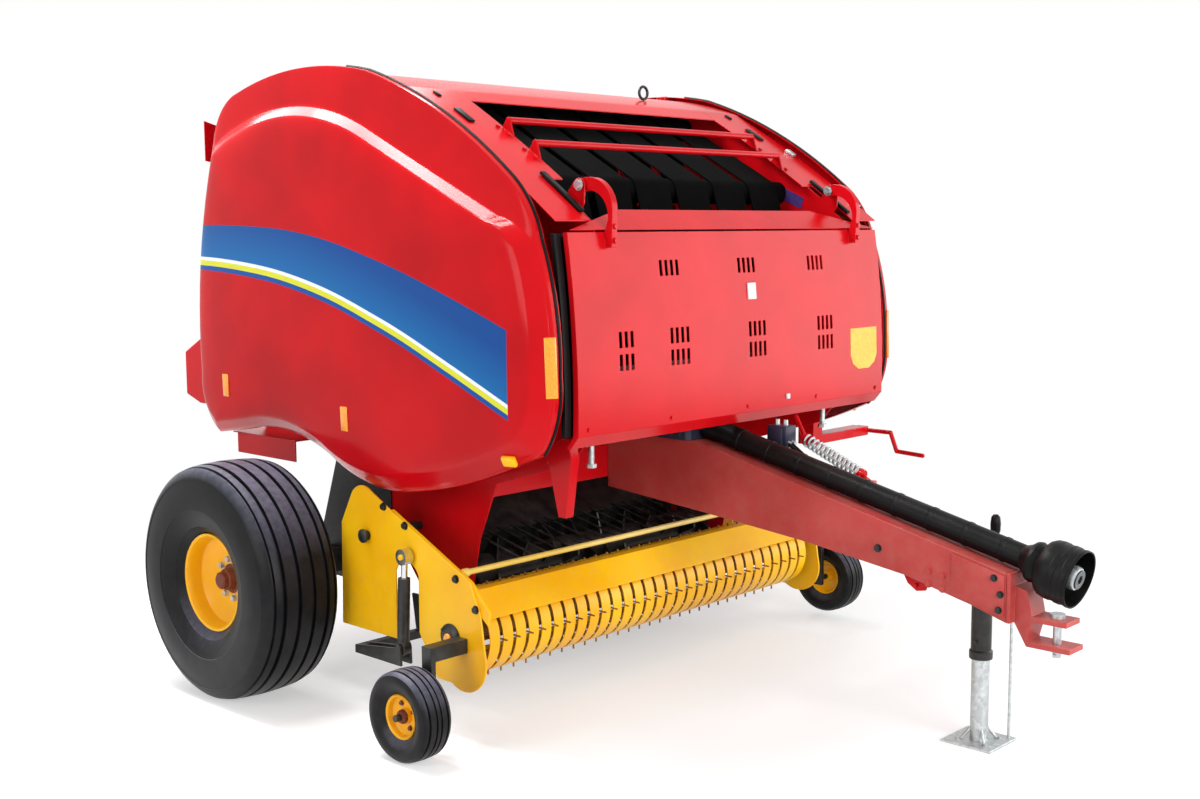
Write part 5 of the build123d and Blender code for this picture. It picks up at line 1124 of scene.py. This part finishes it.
# Jack: collar with its bracket and lock pin, bolts of its seat, the handle's knob and the foot
JACK_X = 2.752
JACK_Y = 0.272
JACK_COLLAR = ((0.0412, 0.345), (0.046, 0.345), (0.047, 0.352), (0.047, 0.376), (0.0412, 0.382))
KNOB = (
    (0, 0), (0.0165, 0), (0.02, 0.01), (0.021, 0.04), (0.018, 0.066), (0.01, 0.076), (0, 0.078),
)
shape = bmesh.new()
lathe(shape, JACK_COLLAR, (JACK_X, JACK_Y, 0), (0, 0, 1), 36)
slab(shape, (JACK_X - 0.046, JACK_X + 0.046), (0.225, 0.2305), (0.694, 0.786), 0.002)
bar(shape, (JACK_X, 0.215, 0.420), (JACK_X, 0.332, 0.420), 0.007)
piece("jack_collar", shape, "black_paint", "frame")
shape = bmesh.new()
for x, z in ((2.722, 0.711), (2.782, 0.701), (2.722, 0.761), (2.782, 0.751)):
    bolt(shape, (x, -TONGUE_SKIN, z), (0, -1, 0), 0.020, 0.009)
piece("jack_seat_bolts", shape, "worn_red", "frame")
shape = bmesh.new()
lathe(shape, KNOB, (2.732, 0.402, 0.832), (0, 0, 1), 28, closed=False)
piece("jack_knob", shape, "black_plastic", "frame")
shape = bmesh.new()
for x in (JACK_X - 0.06, JACK_X + 0.06):
    for y in (JACK_Y - 0.06, JACK_Y + 0.06):
        bolt(shape, (x, y, 0.010), (0, 0, 1), 0.016, 0.005)
for turn in map(math.radians, range(45, 405, 90)):
    ends = ((0.072, 0.012), (0.036, 0.055))
    way = (math.cos(turn), math.sin(turn))
    foot, top = ((JACK_X + out * way[0], JACK_Y + out * way[1], z) for out, z in ends)
    bar(shape, foot, top, 0.006, steps=8)
piece("jack_foot_ribs", shape, "zinc", "jack_leg")

# Tailgate: pressed ribs, a bolted cover with louvres, edge bolts, grab handles and reflectors
TAIL_SKIN = skin_of("tailgate_shell")


def tail_at(y, z):
    """Place on the tailgate's back, and the way its face looks there."""
    return meets(TAIL_SKIN, spot(-3, y, z), (1, 0, 0))


def on_tail(shape, y, z, size, edge, sunk=0.004):
    """Flat part that lies on the tailgate's back, with its width, height and thickness."""
    place, out = tail_at(y, z)
    aside = Vector((0, 1, 0))
    up = out.cross(aside).normalized()
    block(shape, place + out * (size[2] / 2 - sunk), (aside, up, out), size, edge)


shape = bmesh.new()
for z in (1.290, 1.600, 2.050, 2.290):
    on_tail(shape, 0, z, (1.600, 0.070, 0.022), 0.008)
piece("tailgate_ribs", shape, "red", "tailgate")
shape = bmesh.new()
on_tail(shape, 0, 1.825, (0.560, 0.220, 0.012), 0.003)
for step in range(5):
    on_tail(shape, 0, 1.755 + step * 0.035, (0.400, 0.012, 0.020), 0.004)
piece("tailgate_cover", shape, "red", "tailgate")
shape = bmesh.new()
for y in (-0.255, 0, 0.255):
    for z in (1.735, 1.915):
        face = from_axle(tail_at(y, z)[0]) - Vector((0.008, 0, 0))
        bolt(shape, face, (-1, 0, 0), 0.018, 0.007)
for side in (1, -1):
    for z in (1.18, 1.38, 1.50, 1.72, 1.95, 2.17, 2.40):
        place, out = tail_at(side * 0.822, z)
        bolt(shape, from_axle(place), out, 0.018, 0.007)
piece("tailgate_bolts", shape, "zinc", "tailgate")
shape = bmesh.new()
for side in (1, -1):
    knees = []
    for z in (1.405, 1.525):
        foot = from_axle(tail_at(side * 0.560, z)[0])
        knees.append(foot - Vector((0.038, 0, 0)))
        bar(shape, foot, knees[-1], 0.007)
    bar(shape, *knees, 0.007)
piece("tailgate_handles", shape, "black_paint", "tailgate")
shape = bmesh.new()
for side in (1, -1):
    on_tail(shape, side * 0.700, 1.180, (0.100, 0.050, 0.010), 0.002, sunk=0.002)
piece("tailgate_reflectors", shape, "lens", "tailgate")

# Camera
CAMERA_PLACE = (5.5649, -4.9011, 2.0695)
CAMERA_TURN = 0.8107
CAMERA_PITCH = 0.1174
CAMERA_ROLL = -0.0053
CAMERA_LENS = 43.65

flat = Vector((-math.cos(CAMERA_TURN), math.sin(CAMERA_TURN), 0))
side = Vector((math.sin(CAMERA_TURN), math.cos(CAMERA_TURN), 0))
forward = flat * math.cos(CAMERA_PITCH) - Vector((0, 0, 1)) * math.sin(CAMERA_PITCH)
above = side.cross(forward)
side = side * math.cos(CAMERA_ROLL) + above * math.sin(CAMERA_ROLL)
above = side.cross(forward)
camera_data = bpy.data.cameras.new("camera")
camera_data.lens = CAMERA_LENS
camera_data.sensor_width = 36
camera = bpy.data.objects.new("camera", camera_data)
bpy.context.collection.objects.link(camera)
turn = Matrix((side, above, -forward)).transposed().to_4x4()
camera.matrix_world = Matrix.Translation(spot(*CAMERA_PLACE)) @ turn
bpy.context.scene.camera = camera
bpy.context.scene.view_settings.view_transform = "Standard"

# World: white to the camera, soft pale light to the object
world = bpy.data.worlds.new("studio")
world.use_nodes = True
bpy.context.scene.world = world
sky = world.node_tree
sky.nodes.clear()
WHITE = (1, 1, 1, 1)
white = add(sky, "Background", {"Color": WHITE, "Strength": 1.0})
soft = add(sky, "Background", {"Color": (0.97, 0.98, 1, 1), "Strength": 0.42})


def shows_backdrop(tree):
    """1 for what the camera sees, also in metal and through glass."""
    rays = add(tree, "LightPath", output=None).outputs
    seen = rays["Is Camera Ray"]
    for kind in ("Is Glossy Ray", "Is Transmission Ray"):
        seen = add(tree, "Math", (seen, rays[kind]), operation="MAXIMUM")
    return seen


both = add(sky, "MixShader", (shows_backdrop(sky), soft, white))
add(sky, "OutputWorld", (both,), output=None)


def area_light(name, place, target, size, power, turn=0.0):
    """Rectangular soft white light that looks at a point."""
    data = bpy.data.lights.new(name, "AREA")
    data.shape = "RECTANGLE"
    data.size, data.size_y = size
    data.energy = power
    light = bpy.data.objects.new(name, data)
    bpy.context.collection.objects.link(light)
    light.location = spot(*place)
    aim = (spot(*target) - light.location).to_track_quat("-Z", "Y")
    light.rotation_euler = (aim @ Quaternion((0, 0, 1), math.radians(turn))).to_euler()


# The two ledge strips hang where the ledge of the right shield mirrors them to the camera
area_light("overhead_strip", (-0.9, -0.7, 6.0), (0.4, -0.3, 1.5), (7.0, 0.55), 150)
area_light("front_left_box", (5.4, 4.4, 2.3), (1.7, 0.1, 1.6), (4.2, 3.4), 160)
area_light("front_box", (7.5, -1.5, 2.6), (1.2, -0.2, 0.9), (4.0, 2.6), 250)
area_light("side_box", (1.0, -7.5, 3.0), (0.4, 0, 1.1), (5.0, 2.5), 150)
area_light("ledge_strip", (-5.3, -0.8, 6.0), (-5.3, -0.8, 0.0), (4.6, 1.2), 180, turn=-12.0)
area_light("ledge_strip_front", (-1.2, -1.7, 6.0), (-1.2, -1.7, 0.0), (3.8, 0.8), 260)

# Floor: pale around the machine, fading to the backdrop between two distances from it
FADE_START = 2.6
FADE_END = 4.6
floor_shape = bmesh.new()
bmesh.ops.create_grid(floor_shape, x_segments=1, y_segments=1, size=60)
floor_mesh = bpy.data.meshes.new("floor")
floor_shape.to_mesh(floor_mesh)
floor_shape.free()
floor = bpy.data.objects.new("floor", floor_mesh)
bpy.context.collection.objects.link(floor)
material, tree, shader, place = new_material("studio_floor")
feed(tree, shader, {"Base Color": linear("D8D8D8"), "Roughness": 0.7, "Specular IOR Level": 0.1})
glow = add(tree, "Emission", {"Color": WHITE, "Strength": 0.44})
lit = add(tree, "AddShader", (shader.outputs[0], glow))
clear = add(tree, "Emission", {"Color": WHITE, "Strength": 1.0})
away = add(tree, "VectorMath", (place,), "Value", operation="LENGTH")
fade = add(tree, "MapRange", (away, FADE_START, FADE_END), clamp=True)
near = add(tree, "MixShader", (fade, lit, clear))
whole = add(tree, "MixShader", (shows_backdrop(tree), shader.outputs[0], near))
feed(tree, tree.nodes["Material Output"], (whole,))
floor.data.materials.append(material)
